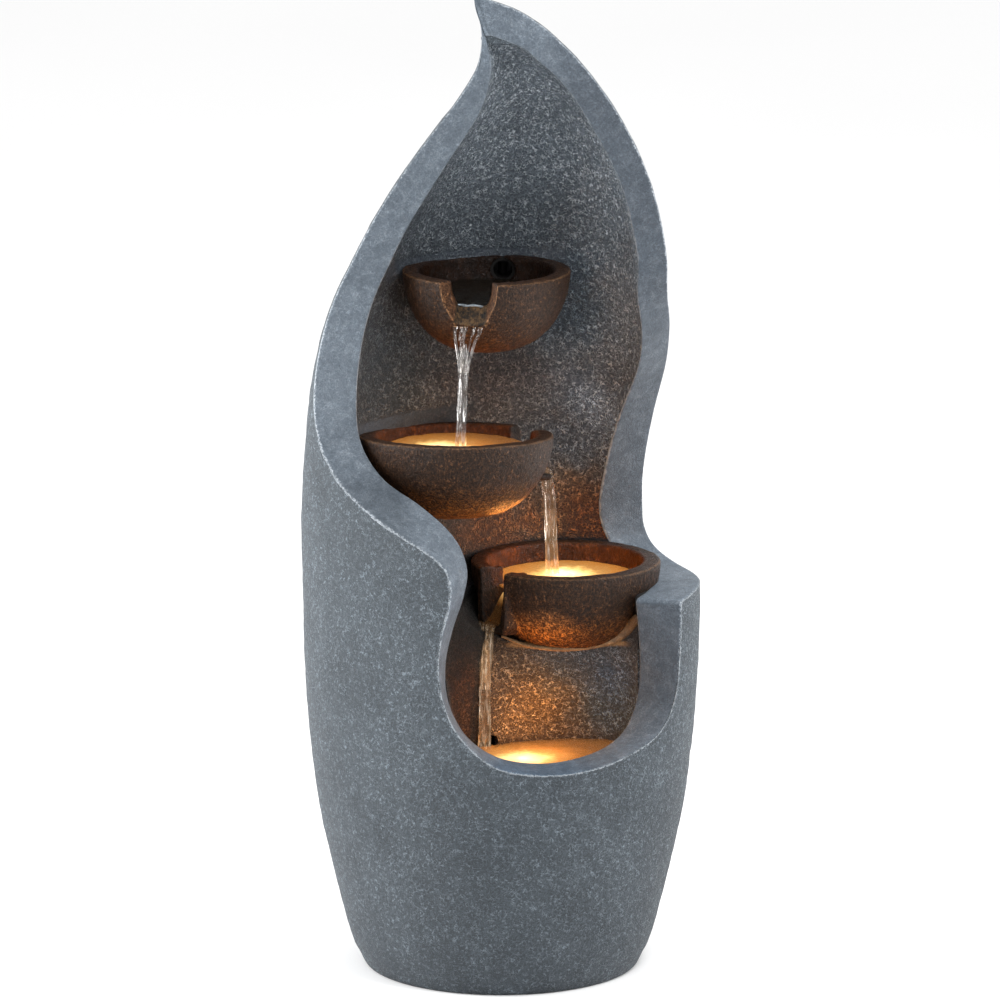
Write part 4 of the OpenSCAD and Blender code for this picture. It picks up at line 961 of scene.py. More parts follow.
def recess_mat():
    M = Mat("recess")
    h, fine = crackle(M, 2.0)
    z, x = M.xyz[2], M.xyz[0]
    big = M.noise(40, 3.0, 0.6)
    wav = M.math("MULTIPLY", M.math("SUBTRACT", big, 0.5), 120.0)
    brown = M.smooth(M.math("ADD", z, wav), 520.0, 300.0)
    grey = M.ramp(h, [(0.20, (0.026, 0.033, 0.041)), (0.36, (0.062, 0.076, 0.092)), (0.56, (0.118, 0.140, 0.162)), (0.80, (0.46, 0.495, 0.53))])
    rust = M.ramp(h, [(0.20, (0.010, 0.007, 0.005)), (0.36, (0.029, 0.022, 0.0165)), (0.56, (0.062, 0.047, 0.035)), (0.80, (0.26, 0.192, 0.135))])
    col = M.mix(brown, grey, rust)
    col = M.mix(1.0, col, M.ramp(big, [(0.25, (0.78, 0.78, 0.78)), (0.75, (1.2, 1.2, 1.2))]), "MULTIPLY")

    # painted light and shade: the recess wall darker at the left and low down, lighter towards the top and at the right
    tone = M.math("MULTIPLY", M.smooth(M.math("ADD", x, M.math("MULTIPLY", wav, 0.2)), -112.0, -30.0, 0.52, 1.0), M.smooth(z, 440.0, 350.0, 1.0, 0.72))
    tone = M.math("MULTIPLY", tone, M.smooth(z, 570.0, 680.0, 1.0, 1.45))
    tone = M.math("MULTIPLY", tone, M.smooth(z, 490.0, 570.0, 1.0, 1.20))
    tone = M.math("MULTIPLY", tone, M.math("MULTIPLY_ADD", M.math("MULTIPLY", M.smooth(x, 40.0, 90.0), M.smooth(z, 400.0, 450.0)), 0.45, 1.0))
    col = M.mix(1.0, col, M.node("ShaderNodeCombineColor", {0: tone, 1: tone, 2: tone}).outputs[0], "MULTIPLY")

    def ring(C, r0, r1, z0, z1):
        v = M.vm("MULTIPLY", M.vm("SUBTRACT", M.obj, tuple(float(c) for c in C)), (1.0, 1.0, 0.0))
        d = M.math("ADD", M.node("ShaderNodeVectorMath", {0: v}, operation="LENGTH").outputs["Value"], M.math("MULTIPLY", M.math("SUBTRACT", fine, 0.5), 5.0))
        a = M.math("MULTIPLY", M.smooth(z, C[2] + z0 - 4, C[2] + z0), M.smooth(z, C[2] + z1 + 4, C[2] + z1))
        return M.math("MULTIPLY", M.smooth(d, r1, r0), a)
    # painted light and shade in soft patches: a shadow behind the upper bowl, shade under it, on the left wall and at
    # the lower right, a lighter cooler patch right of the middle bowl, warm lamp light round the lower bowl
    col = M.painted_lighting_tint(col, (50, 520, 34, 40, (0.55, 0.68, 0.78)), (0, 458, 56, 22, (0.72, 0.62, 0.58)), (-90, 465, 34, 50, (0.70, 0.80, 0.86)),
        (72, 408, 36, 46, (1.28, 1.50, 1.72)), (78, 345, 34, 34, (0.86, 0.60, 0.42)), (-4, 338, 34, 18, (1.75, 1.12, 0.62)), (54, 338, 44, 36, (2.3, 1.55, 0.92)))
    # painted contact shadows: dark bands on the wall where it meets the upper and middle bowls' rims; the bands are
    # also smoother and less bumpy
    upper_fillet_shadow, mid_fillet_shadow = ring(UC, 76, 84, -8, 4), M.math("MULTIPLY", ring(MC, 80, 90, -30, 5), M.smooth(x, 10.0, -20.0))
    fil = M.math("MAXIMUM", upper_fillet_shadow, mid_fillet_shadow)
    col = M.mix(M.math("MULTIPLY", upper_fillet_shadow, 0.60), col, M.mix(fine, (0.026, 0.034, 0.046), (0.080, 0.098, 0.124)))
    col = M.mix(M.math("MULTIPLY", mid_fillet_shadow, 0.82), col, M.mix(fine, (0.010, 0.014, 0.021), (0.032, 0.042, 0.058)))
    # painted shadow: near-black on the wall behind the lower bowl's rim and, at half strength, below the upper bowl's
    # rim
    painted_gap_shadow = M.math("MAXIMUM", ring(LC, 84, 92, -60, -3), M.math("MULTIPLY", ring(UC, 74, 82, -34, -8), 0.5))
    col = M.mix(M.math("MULTIPLY", painted_gap_shadow, 0.94), col, (0.006, 0.007, 0.009))
    rough = M.mix(fil, M.ramp(h, [(0.1, (0.75,) * 3), (0.9, (0.40,) * 3)]), (0.5, 0.5, 0.5))
    hb = M.math("MULTIPLY", h, M.math("SUBTRACT", 1.0, M.math("MULTIPLY", fil, 0.7)))
    M.set(Base_Color=col, Roughness=rough, Normal=M.bump(hb, 2.4, 1.0))
    return M.m


def pool_mat():
    M = Mat("pool wall")
    h, fine = crackle(M, 2.0)
    z, x = M.xyz[2], M.xyz[0]
    big = M.noise(30, 3.0, 0.6)
    g = M.smooth(M.math("ADD", M.math("ADD", x, M.math("MULTIPLY", M.math("SUBTRACT", z, 220.0), 0.6)), M.math("MULTIPLY", M.math("SUBTRACT", big, 0.5), 60.0)), 26.0, 70.0)
    rust = M.ramp(h, [(0.20, (0.022, 0.015, 0.010)), (0.36, (0.058, 0.042, 0.028)), (0.56, (0.118, 0.088, 0.062)), (0.80, (0.46, 0.37, 0.27))])
    grey = M.ramp(h, [(0.20, (0.022, 0.023, 0.025)), (0.36, (0.044, 0.047, 0.052)), (0.56, (0.082, 0.088, 0.098)), (0.80, (0.30, 0.33, 0.37))])
    col = M.mix(g, rust, grey)
    wet = M.smooth(z, 192.0, 185.0)
    col = M.mix(M.math("MULTIPLY", wet, 0.5), col, (0.02, 0.012, 0.006))
    dim = M.smooth(M.math("ADD", x, M.math("MULTIPLY", M.math("SUBTRACT", big, 0.5), 20.0)), -26.0, 10.0, 0.30, 1.0)
    dim = M.math("MULTIPLY", dim, M.smooth(z, 270.0, 256.0, 0.34, 1.0))
    dim = M.math("MULTIPLY", dim, M.smooth(M.math("ADD", z, M.math("MULTIPLY", x, -1.0)), 285.0, 262.0, 0.30, 1.0))
    col = M.mix(1.0, col, M.node("ShaderNodeCombineColor", {0: dim, 1: dim, 2: dim}).outputs[0], "MULTIPLY")
    # painted light: a gold band of lamp light along the ledge's lip, mixed in below
    lip = M.math("MULTIPLY", M.smooth(z, 262.5, 265.0), M.smooth(z, 268.5, 266.8))
    lip = M.math("MULTIPLY", lip, M.math("MULTIPLY", M.smooth(x, 0.0, 12.0), M.smooth(x, 104.0, 92.0)))
    # painted light and shade in soft patches: the right wall cooled against the pool lamp's warm light, warmer lighter
    # patches on the left, shade under the lower bowl
    col = M.painted_lighting_tint(col, (88, 216, 24, 30, (0.85, 1.15, 1.5)), (-30, 225, 18, 50, (1.0, 0.62, 0.40)), (-36, 262, 18, 30, (1.45, 1.22, 1.02)), (46, 247, 44, 13, (0.74, 0.80, 0.86)))
    col = M.mix(M.math("MULTIPLY", lip, 0.8), col, (0.34, 0.20, 0.085))
    M.set(Base_Color=col, Roughness=M.ramp(h, [(0.1, (0.7,) * 3), (0.9, (0.34,) * 3)]), Normal=M.bump(h, 2.0, 1.0))
    return M.m


def lip_mat():
    """smooth rubbed lip, wet and gold-brown from the lamp"""
    M = Mat("ledge lip")
    n, g = M.noise(6.0, 4.0, 0.6), M.noise(1.4, 3.0, 0.6)
    col = M.ramp(M.math("ADD", M.math("MULTIPLY", n, 0.5), M.math("MULTIPLY", g, 0.5)), [(0.3, (0.060, 0.034, 0.016)), (0.5, (0.150, 0.090, 0.042)), (0.72, (0.36, 0.235, 0.115))])
    col = M.mix(1.0, col, M.ramp(M.smooth(M.xyz[0], 78.0, 104.0), [(0.0, (1.25, 1.2, 1.1)), (1.0, (0.62, 0.62, 0.66))]), "MULTIPLY")
    M.set(Base_Color=col, Roughness=M.ramp(n, [(0.3, (0.34,) * 3), (0.7, (0.50,) * 3)]), Normal=M.bump(g, 0.9, 1.0))
    return M.m


# the second and third arguments scale the inside colour and the painted underside glow: painted light and shade, lower
# for the unlit upper bowl
def bowl_mat(name="bowl", painted_inside_light=1.0, low=1.0):
    M = Mat(name)
    st = M.vm("MULTIPLY", M.obj, (1, 1, 0.45))
    g = M.noise(1.5, 3.0, 0.66, vec=st)
    m1 = M.noise(7.0, 4.0, 0.6)
    m2 = M.noise(26, 3.0, 0.5)
    h, _ = crackle(M, 1.9)
    f = M.math("ADD", M.math("MULTIPLY", g, 0.6), M.math("MULTIPLY", h, 0.4))
    col = M.ramp(f, [(0.26, (0.003, 0.0013, 0.0007)), (0.42, (0.0140, 0.0058, 0.0023)), (0.58, (0.040, 0.0180, 0.0080)), (0.76, (0.20, 0.090, 0.038))])
    col = M.mix(1.0, col, M.ramp(m2, [(0.3, (0.8, 0.8, 0.8)), (0.7, (1.2, 1.17, 1.14))]), "MULTIPLY")
    jit = M.math("MULTIPLY", M.math("SUBTRACT", M.noise(2.0, 3.0, 0.7), 0.47), 3.6)
    worn = M.smooth(M.math("SUBTRACT", M.attr("edge"), jit), 1.7, 0.3)
    col = M.mix(M.math("MULTIPLY", worn, 0.7), col, (0.19, 0.098, 0.044))
    # painted light: a warm lamp glow on the bowl's underside, stronger lower down
    under = M.math("MULTIPLY", M.smooth(M.math("ADD", M.attr("depth"), M.math("MULTIPLY", m1, 16.0)), 34.0, 64.0), M.smooth(f, 0.30, 0.60))
    col = M.mix(M.math("MULTIPLY", under, 0.80), col, M.mix(M.smooth(f, 0.42, 0.72), (0.070 * low, 0.022 * low, 0.0035 * low), (0.32 * low, 0.115 * low, 0.022 * low)))
    ins = M.attr("inside")
    rust = M.ramp(M.math("ADD", M.math("MULTIPLY", g, 0.5), M.math("MULTIPLY", m1, 0.5)), [(0.3, tuple(c * painted_inside_light for c in (0.008, 0.0036, 0.0018))), (0.52, tuple(c * painted_inside_light for c in (0.034, 0.0125, 0.0045))), (0.75, tuple(c * painted_inside_light for c in (0.13, 0.045, 0.014)))])
    col = M.mix(ins, col, rust)
    wet = M.attr("wet")
    col = M.mix(wet, col, M.mix(M.smooth(M.math("ADD", M.math("MULTIPLY", g, 0.5), M.math("MULTIPLY", m1, 0.5)), 0.40, 0.66), (0.002, 0.0014, 0.0008), (0.095, 0.050, 0.018)))
    dk = M.math("SUBTRACT", 1.0, M.attr("cheek"))
    col = M.mix(1.0, col, M.node("ShaderNodeCombineColor", {0: dk, 1: dk, 2: dk}).outputs[0], "MULTIPLY")
    hh = M.math("ADD", M.math("MULTIPLY", g, 0.45), M.math("MULTIPLY", h, 0.4))
    # painted highlights and glow on the lit bowls: the lower bowl's hot spot, the middle bowl's bright crescent and
    # amber glow underneath
    if low > 0.9:
        col = M.painted_lighting_tint(col, (34, 286, 26, 13, (3.3, 3.2, 2.7)), (7, 379, 16, 8, (5.6, 7.2, 9.0)), (-30, 378, 34, 9, (1.9, 1.9, 1.8)))
    M.set(Base_Color=col, Roughness=M.mix(ins, M.ramp(f, [(0.2, (0.58,) * 3), (0.8, (0.34,) * 3)]), (0.30, 0.30, 0.30)), Normal=M.bump(hh, 1.9, 1.0))
    M.b.inputs["Specular IOR Level"].default_value = 0.22
    return M.m


# painted light: the water glows by emission, hottest at the centre, standing in for the lamp's light in it; the amber
# base colour is painted lamp light as well, near-black for the unlit upper bowl
def water_mat(name, centre, reach, core=(1.0, 0.83, 0.50), painted_lighting_tint=(1.0, 0.40, 0.06), strength=2.6, alpha=0.55, far=0.12, base=(0.20, 0.11, 0.05)):
    M = Mat(name)
    v = M.vm("SUBTRACT", M.obj, tuple(centre))
    v = M.vm("MULTIPLY", v, (1.0, 1.0, 0.0))
    d = M.node("ShaderNodeVectorMath", {0: v}, operation="LENGTH").outputs["Value"]
    d = M.math("ADD", d, M.math("MULTIPLY", M.math("SUBTRACT", M.noise(9.0, 3.0, 0.6), 0.5), reach * 0.35))
    f = M.math("DIVIDE", d, reach)
    col = M.ramp(f, [(0.0, core), (0.34, (1.0, 0.60, 0.18)), (0.62, painted_lighting_tint), (1.0, (0.62, 0.22, 0.03))])
    st = M.ramp(f, [(0.0, (1.0,) * 3), (0.26, (0.70,) * 3), (0.42, (0.20,) * 3), (0.70, (far * 1.5,) * 3), (1.0, (far,) * 3)])
    M.set(Base_Color=base, Emission_Color=col, Emission_Strength=M.math("MULTIPLY", st, strength), Normal=M.bump(M.noise(5.0, 2.0), 0.9, 0.6))
    M.b.inputs["Roughness"].default_value = 0.06
    M.b.inputs["IOR"].default_value = 1.33
    M.b.inputs["Alpha"].default_value = alpha
    return M.m


# painted light: the falling water glows by emission in pale streaks and sparkles that stand in for glints, plus an even
# glow set by warm; a warm tone is painted lamp light
def stream_mat(name, warm=0.5, tone=(1.0, 0.62, 0.26), first=0.05, free=(26.0, 44.0), pale=(1.0, 0.90, 0.78)):
    M = Mat(name)
    st = M.vm("MULTIPLY", M.obj, (1, 1, 0.12))
    n = M.noise(1.6, 3.0, 0.6, vec=st)
    streak = M.smooth(n, 0.50, 0.66)
    spark = M.smooth(M.noise(2.2, 2.0, 0.6, vec=M.vm("MULTIPLY", M.obj, (1, 1, 0.4))), 0.60, 0.72)
    col = M.mix(streak, tone, pale)
    st2 = M.math("ADD", M.math("MULTIPLY", streak, 0.16), M.math("MULTIPLY", spark, 0.30))
    st2 = M.math("MULTIPLY", M.math("ADD", st2, 0.07 * warm), M.smooth(M.attr("len"), *free, first, 1.0))
    M.set(Base_Color=tuple(0.55 + 0.45 * c for c in tone), Emission_Color=col, Emission_Strength=st2, Normal=M.bump(n, 0.8, 0.8))
    M.b.inputs["Roughness"].default_value = 0.05
    M.b.inputs["IOR"].default_value = 1.2
    M.b.inputs["Transmission Weight"].default_value = 1.0
    return M.m


def spill_mat():
    """thin water running over the spout of the lower bowl, lit gold where it leaves the bowl"""
    M = Mat("spill")
    n = M.noise(3.0, 3.0, 0.6, vec=M.vm("MULTIPLY", M.obj, (1, 1, 0.4)))
    far = M.smooth(M.attr("len"), 5.0, 24.0, 1.0, 0.0)
    M.set(Base_Color=M.mix(n, (0.050, 0.026, 0.010), (0.115, 0.062, 0.024)), Emission_Color=M.mix(far, (0.62, 0.24, 0.05), (1.0, 0.62, 0.22)), Emission_Strength=M.math("MULTIPLY_ADD", far, 1.3, 0.03), Normal=M.bump(n, 0.5, 0.6))
    M.b.inputs["Roughness"].default_value = 0.08
    M.b.inputs["IOR"].default_value = 1.33
    M.b.inputs["Alpha"].default_value = 0.6
    return M.m


def plain_mat(name, a, b, size=3.0, rough=(0.45, 0.6), bump=0.1, metal=0.0, spec=0.5, scratches=True, bsize=None):
    """moulded or metal parts: two tones broken up by noise, fine grain, rubbed patches"""
    M = Mat(name)
    n = M.noise(size, 4.0, 0.6)
    g = M.noise(bsize or size * 0.22, 3.0, 0.6)
    big = M.noise(size * 8, 3.0, 0.5)
    f = M.math("ADD", M.math("MULTIPLY", n, 0.5), M.math("MULTIPLY", big, 0.5))
    col = M.ramp(f, [(0.3, a), (0.7, b)])
    if scratches:
        w = M.noise(size * 1.4, 2.0, 0.5, vec=M.vm("MULTIPLY", M.obj, (1.0, 1.0, 0.08)), dist=0.8)
        line = M.smooth(M.math("ABSOLUTE", M.math("SUBTRACT", w, 0.5)), 0.012, 0.0)
        col = M.mix(M.math("MULTIPLY", line, 0.35), col, tuple(min(1, c * 1.6 + 0.03) for c in b))
    M.set(Base_Color=col, Roughness=M.ramp(f, [(0.3, (rough[0],) * 3), (0.7, (rough[1],) * 3)]), Normal=M.bump(g, bump, 0.8))
    M.b.inputs["Metallic"].default_value = metal
    M.b.inputs["Specular IOR Level"].default_value = spec
    return M.m


def lens_mat():
    M = Mat("lens")
    r = M.noise(2.0, 2.0)
    M.set(Base_Color=M.ramp(r, [(0.3, (0.95, 0.80, 0.55)), (0.7, (1.0, 0.9, 0.7))]), Emission_Color=(1.0, 0.72, 0.34), Emission_Strength=M.math("MULTIPLY_ADD", r, 1.5, 2.2), Normal=M.bump(r, 0.12, 0.6))
    M.b.inputs["Roughness"].default_value = 0.18
    return M.m


# ---------------------------------------------------------------- build
skin_o = make_skin()
rim_o = make_rim()
wall_o = make_wall()
pool_o, lip_o = make_pool()
ub = make_bowl("bowl_top", "upper_bowl", 66.7, 63, at_upper, [(33, 52.5, 25, 36, -13, 19, 50, 59, 0)], inlet=True, seed=0, shade=-1.6, mid=0.84)
mb = make_bowl("bowl_mid", "middle_bowl", 76.7, 64, at_middle, [(30, 44, 18, 36, 124, 20, 58, 70, 0)], [(82.0, 15, 36, 119)], led=(12, -6, -52), seed=1, shade=0.6)
lb = make_bowl("bowl_low", "lower_bowl", 75, 71, at_lower, [(26, 27, 21, 43, -54, 22, 48, 66, 0.8)], led=(-6, -10, -59), seed=2, beak=(19.5, 44, -54, 73.0), shade=0.55)

# painted light and shade: the lit bowls share a brighter copy of the bowl material, the upper bowl a darker shaded copy
m_cast, m_rim, m_recess, m_pool, m_bowl_lit, m_top_shaded = casting_mat(), rim_mat(), recess_mat(), pool_mat(), bowl_mat("bowl", 1.5), bowl_mat("bowl top", 0.35, 0.55)
for o, m, s in ((skin_o, m_cast, "casting"), (rim_o, m_rim, "rim"), (wall_o, m_recess, "recess"), (pool_o, m_pool, "recess"), (lip_o, lip_mat(), "recess"), (ub, m_top_shaded, "bowls"), (mb, m_bowl_lit, "bowls"), (lb, m_bowl_lit, "bowls")):
    o.data.materials.clear()
    o.data.materials.append(m)

# water at rest in the bowls and the pool
w1 = water_disc("water_top", UC, None, 50.2, 18, (-30, 0), seed=0)
w2 = water_disc("water_mid", MC, None, 58.5, 12, (-31, -32), seed=1)
w3 = water_disc("water_low", LC, None, 57.5, 15, (44, 20), seed=2)


def pool_water():
    F = np.linspace(1.5, 178.5, 120)
    ring = np.concatenate([basin_back(WATER_Z, 1.2, F)[:, :2], skin(np.linspace(66, -20, 60), np.full(60, 235.0), 30.2)[:, :2]])
    c = ring.mean(0)
    rows = []
    for q in np.linspace(0.02, 1, 60):
        P = c + (ring - c) * q
        X = np.concatenate([P, np.full((len(P), 1), WATER_Z)], 1)
        d = np.hypot(P[:, 0] + 13, P[:, 1] + 34)
        X[:, 2] += 0.9 * np.exp(-d / 18) * np.cos(d * 1.1) + 0.35 * vnoise(X, 10, 66) + 0.2 * vnoise(X, 4.5, 67)
        rows.append(X)
    A = np.stack(rows)
    m, n = A.shape[:2]
    V = np.concatenate([A.reshape(-1, 3), (A - [0, 0, 1.5]).reshape(-1, 3)])
    k = m * n
    j = np.arange(n)
    j2 = (j + 1) % n
    F4 = [grid_faces(m, n, wrap_n=True), grid_faces(m, n, k, wrap_n=True, flip=True), np.arange(n)[None, ::-1], (k + np.arange(n))[None, :],
        np.stack([(m - 1) * n + j, (m - 1) * n + j2, (m - 1) * n + j2 + k, (m - 1) * n + j + k], -1)]
    return finish(solid("pw", V, F4), "water_pool")


w4 = pool_water()


def led_at(at, p):
    return at(np.array(p, float))


L2, L3, L4 = led_at(at_middle, (12, -6, -52)), led_at(at_lower, (-6, -10, -59)), np.array([30, -72, POOL_Z])
for o, m in ((w1, water_mat("water top", (-14, 20, 0), 60, strength=0.0, alpha=0.55, base=(0.012, 0.009, 0.006))), (w2, water_mat("water mid", (-49, -5, 0), 56, strength=2.4, far=0.09)),
        (w3, water_mat("water low", (50, 22, 0), 66, strength=2.8, far=0.12)), (w4, water_mat("water pool", (18, -72, 0), 62, strength=2.4, far=0.07))):
    o.data.materials.append(m)


def dirv(phi):
    a = math.radians(phi)
    return np.array([math.sin(a), -math.cos(a), 0.0])


def side(phi):
    a = math.radians(phi)
    return np.array([math.cos(a), math.sin(a), 0.0])


def fall(start, end, vx, n=7):
    """points of a free fall from start to end, leaving with the sideways run spread as of a thrown body"""
    start, end = np.array(start, float), np.array(end, float)
    q = np.linspace(0, 1, n) ** 0.8
    P = start + (end - start) * np.stack([q ** 0.5, q ** 0.5, q], -1)
    return P.tolist()


UD, MD, LD = dirv(-14), dirv(119), dirv(-54)
S1, E1 = UC + UD * 61.2 + [0, 0, -38.2], np.array([-32.4, -34.0, 418.0])


def arc1(q, off=0.0):
    return (S1 + (E1 - S1) * [q ** 0.5, q ** 0.5, q] + side(-10) * off).tolist()


s1 = stream("stream_top", [arc1(q) for q in (0.09, 0.16, 0.25, 0.38, 0.52, 0.68, 0.84, 1.0)], [2.6, 4.6, 7.2, 7.6, 7.4, 7.6, 8.4, 9.8], [1.4, 2.6, 4.4, 4.8, 5.0, 5.0, 5.4, 6.2], [side(0)] * 8, seed=1)
strands = []
for i, (o0, o1, w) in enumerate(((-10.2, -2.9, 2.3), (-5.6, -1.5, 1.6), (-2.4, -0.6, 2.6), (4.8, 1.4, 1.7), (9.6, 2.9, 2.4))):
    pts = [(UC + UD * r + side(-14) * o0 + [0, 0, z]).tolist() for r, z in ((58.6, -34.6), (60.4, -36.6))]
    pts += [arc1(q, o1 + (o0 - o1) * (1 - min(1, q / 0.30) ** 0.8)) for q in (0.0, 0.05, 0.11, 0.18, 0.25, 0.32)]
    strands.append(stream("strand_top_%d" % i, pts, [w * k for k in (1.5, 1.25, 1.05, 0.95, 0.9, 0.9, 0.95, 1.0)], [w * k for k in (0.5, 0.6, 0.7, 0.75, 0.8, 0.85, 0.9, 0.9)], [side(-14)] * 3 + [side(-6)] * 5, seed=4 + i, lobes=3))
cr = np.linspace(-10.2, 10.2, 24)
ca = np.linspace(0, 2 * math.pi, 14, endpoint=False)
cw = 0.75 * np.sqrt(np.clip(1 - (cr / 10.4) ** 6, 0.02, 1)) * (1 + 0.25 * np.sin(cr * 0.9))
crest = stack("crest", UC + UD * 51.2 + [0, 0, -18.6] + cr[:, None, None] * side(-14) + (cw[:, None] * np.cos(ca) * 1.6)[..., None] * UD + (cw[:, None] * np.sin(ca))[..., None] * [0, 0, 1.0] + (0.3 * np.sin(cr * 0.5))[:, None, None] * [0, 0, 1.0])
finish(crest, "water_crest")
p2 = [(MC + MD * r + [0, 0, z]).tolist() for r, z in ((78.5, -39.2), (80.5, -40.2), (81.8, -42.0))] + fall([35.8, 24.8, 387.5], (40.3, 20, 309), 0, 9)
s2 = stream("stream_mid", p2, [9.0, 10.0, 10.6] + [10.6, 10.2, 9.8, 9.6, 9.6, 9.6, 9.8, 10.2, 11.2], [1.6, 1.8, 2.2] + [2.6, 3.2, 3.8, 4.2, 4.6, 4.8, 5.2, 5.6, 6], [side(40), side(34), side(28)] + [side(20)] * 2 + [side(10)] * 7, seed=2)
p3 = [(LC + LD * r + side(-54) * q + [0, 0, z]).tolist() for r, z, q in ((44, -16.2, 0), (50, -18.4, -0.6), (57, -26.4, -1.4), (65, -37.6, -2.6), (71.5, -42.2, -3.3), (74.6, -43.6, -3.6))]
spill = stream("water_spill", p3, [19, 19, 19, 19.5, 19.5, 19], [1.6, 1.6, 1.5, 1.3, 1.2, 1.0], [side(-54)] * 6, seed=9, lobes=2, wave=0.08)
S3, E3 = LC + LD * 74.8 + side(-54) * -3.6 + [0, 0, -44.4], np.array([-13.4, -47.6, 183.0])


def arc3(q, off=0.0, turn=-20):
    return (S3 + (E3 - S3) * [q ** 0.5, q ** 0.5, q] + side(turn) * off).tolist()


s3 = stream("stream_low", [arc3(q) for q in (0.10, 0.18, 0.28, 0.42, 0.56, 0.70, 0.86, 1.0)], [2.4, 5.0, 7.4, 8.8, 9.0, 9.2, 9.8, 12.0], [1.0, 2.2, 3.6, 4.6, 5.0, 5.4, 5.8, 6.6], [side(-16)] * 3 + [side(-8)] * 5, seed=3)
low_strands = []
for i, (o0, o1, w) in enumerate(((-9.4, -3.6, 2.5), (-4.4, -1.6, 2.2), (1.2, 0.6, 2.8), (5.6, 2.2, 1.9), (9.2, 3.8, 2.5))):
    pts = [(LC + LD * r + side(-54) * (o0 - 3.6) + [0, 0, z]).tolist() for r, z in ((73.2, -42.8), (74.8, -44.2))]
    pts += [arc3(q, o1 + (o0 - o1) * (1 - min(1, q / 0.34) ** 0.7), -54 + 40 * min(1, q / 0.34)) for q in (0.012, 0.06, 0.14, 0.24, 0.36, 0.50)]
    low_strands.append(stream("strand_low_%d" % i, pts, [w * k for k in (1.5, 1.3, 1.1, 1.0, 1.0, 1.05, 0.9, 0.4)], [w * k for k in (0.5, 0.6, 0.7, 0.75, 0.8, 0.85, 0.8, 0.3)], [side(-54)] * 3 + [side(-30)] * 5, seed=14 + i, lobes=3))
# painted highlight: the crest glows pale blue-white along the water's edge
crest.data.materials.append(stream_mat("crest", 3.0, (0.62, 0.72, 0.80), 1.0, (0.0, 1.0), (0.80, 0.90, 1.0)))
m_s1 = stream_mat("stream top", 0.5, (0.62, 0.58, 0.54), 0.45, (0.0, 26.0), (0.92, 0.93, 0.95))
m_s3 = stream_mat("stream low", 0.5, (0.90, 0.58, 0.30), 0.5, (0.0, 30.0), (1.0, 0.84, 0.64))
for o in strands:
    o.data.materials.append(m_s1)
for o in low_strands:
    o.data.materials.append(m_s3)
for o, m in ((s1, m_s1), (s2, stream_mat("stream mid", 1.3, (0.85, 0.52, 0.25), 0.3)), (s3, m_s3), (spill, spill_mat())):
    o.data.materials.append(m)

glow("glow mid", (-0.034, -0.022, (MC[2] + 6) / 1000), 0.15)
glow("glow low", (L3[0] / 1000, L3[1] / 1000, (LC[2] - 3) / 1000), 0.17)
glow("glow up", (0.026, -0.008, 0.348), 0.14)
glow("glow pool", (0.030, -0.060, 0.205), 0.25)

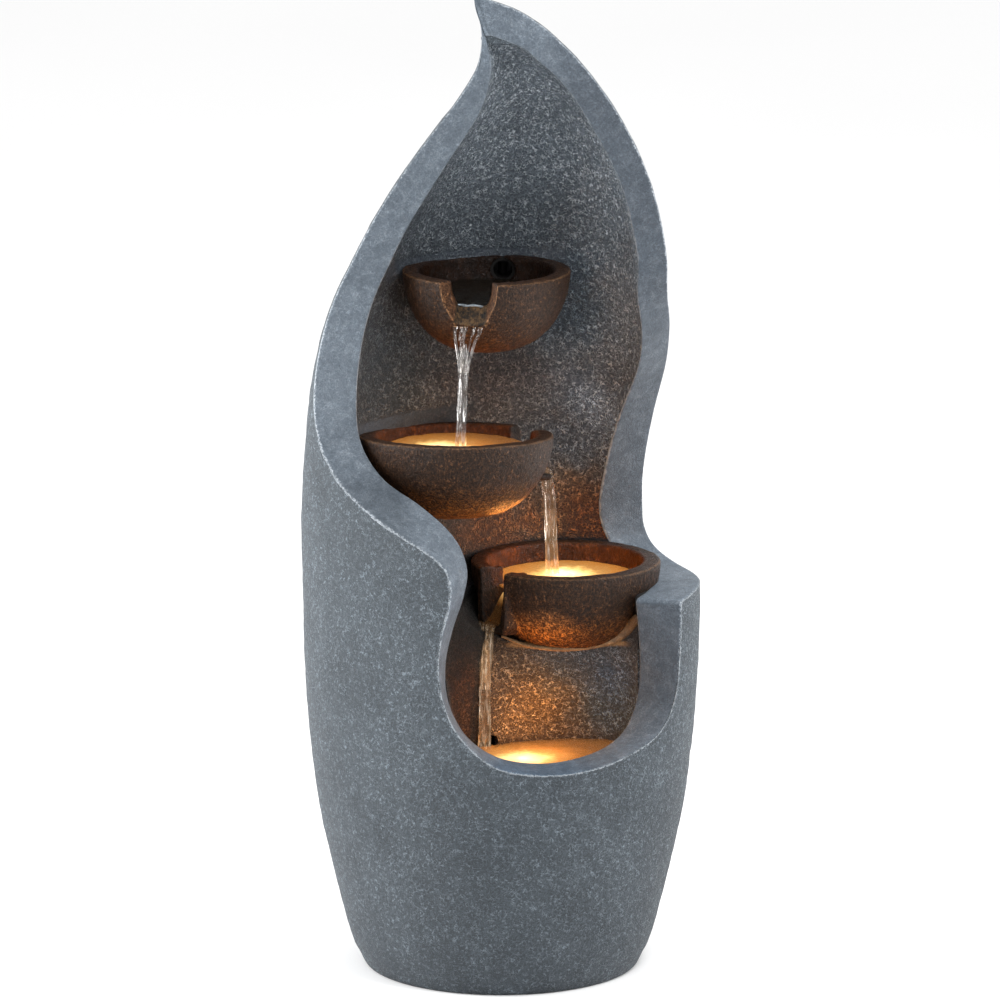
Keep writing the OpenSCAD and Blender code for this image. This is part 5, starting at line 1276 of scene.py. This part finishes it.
# ---------------------------------------------------------------- CAD nodes that stay: materials
SLOTS = {
    "casting": lambda: casting_mat("casting parts", edge=False),
    "base": lambda: plain_mat("base plate", (0.045, 0.050, 0.056), (0.075, 0.082, 0.090), 4.0, (0.6, 0.75), 0.25),
    "hose": lambda: plain_mat("hose", (0.030, 0.032, 0.034), (0.055, 0.057, 0.060), 3.0, (0.38, 0.5), 0.08),
    "elbow": lambda: plain_mat("elbow", (0.006, 0.006, 0.006), (0.014, 0.012, 0.011), 3.0, (0.45, 0.6), 0.06, spec=0.25),
    "steel": lambda: plain_mat("steel", (0.50, 0.50, 0.50), (0.66, 0.66, 0.65), 2.0, (0.22, 0.38), 0.03, metal=1.0),
    "pump": lambda: plain_mat("pump", (0.012, 0.013, 0.014), (0.026, 0.027, 0.029), 3.0, (0.40, 0.55), 0.06),
    "white": lambda: plain_mat("white plastic", (0.62, 0.64, 0.65), (0.74, 0.75, 0.76), 3.0, (0.32, 0.45), 0.04),
    "dial": lambda: plain_mat("dial", (0.03, 0.10, 0.22), (0.05, 0.14, 0.28), 3.0, (0.35, 0.5), 0.05),
    "rubber": lambda: plain_mat("rubber", (0.014, 0.014, 0.015), (0.030, 0.030, 0.031), 2.0, (0.66, 0.82), 0.10, scratches=False),
    "housing": lambda: plain_mat("lamp housing", (0.020, 0.018, 0.017), (0.042, 0.038, 0.034), 2.4, (0.35, 0.5), 0.05),
    "hatch": lambda: casting_mat("hatch", base=(0.105, 0.126, 0.150), edge=False),
    "knob": lambda: plain_mat("knob", (0.020, 0.022, 0.025), (0.040, 0.042, 0.046), 2.0, (0.42, 0.58), 0.06),
    "lens": lens_mat,
}
GROUPS = {
    "casting": ["door_frame"], "hatch": ["door"], "base": ["base_plate"], "hose": ["riser_pipe"], "elbow": ["inlet_elbow"],
    "steel": ["hose_clamps", "hinge_pin"], "pump": ["pump_body", "pump_cover", "pump_outlet"], "white": ["impeller", "pipe_clips"],
    "dial": ["flow_dial"], "rubber": ["suction_feet", "led_seals", "door_seal"], "housing": ["led_housings", "junction_box"],
    "knob": ["latch_knob", "latch_cam", "cable_gland", "gland_nut", "drain_bush", "drain_plug", "drain_grate"], "lens": ["led_lenses"],
}
made = {}
for slot, names in GROUPS.items():
    for nm in names:
        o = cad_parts.get(nm)
        if o is None:
            continue
        if slot not in made:
            made[slot] = SLOTS[slot]()
        o.data.materials.clear()
        o.data.materials.append(made[slot])
        if slot in ("casting", "hatch", "pump", "knob", "white", "dial", "base"):
            bv = o.modifiers.new("soft edges", "BEVEL")
            bv.width, bv.segments, bv.limit_method, bv.angle_limit = (0.0010 if slot in ("casting", "hatch") else 0.0004), 2, "ANGLE", math.radians(40)
            bv.use_clamp_overlap = True

# ---------------------------------------------------------------- floor
fl = bpy.data.meshes.new("floor")
bm = bmesh.new()
bmesh.ops.create_circle(bm, cap_ends=True, radius=14, segments=96)
bm.to_mesh(fl)
bm.free()
floor = bpy.data.objects.new("floor", fl)
SC.collection.objects.link(floor)
FM = Mat("floor")
FM.set(Base_Color=FM.ramp(FM.noise(900, 2.0), [(0.3, (0.93, 0.93, 0.93)), (0.7, (0.95, 0.95, 0.95))]))
FM.b.inputs["Roughness"].default_value = 0.9
FM.b.inputs["Specular IOR Level"].default_value = 0.1
fl.materials.append(FM.m)
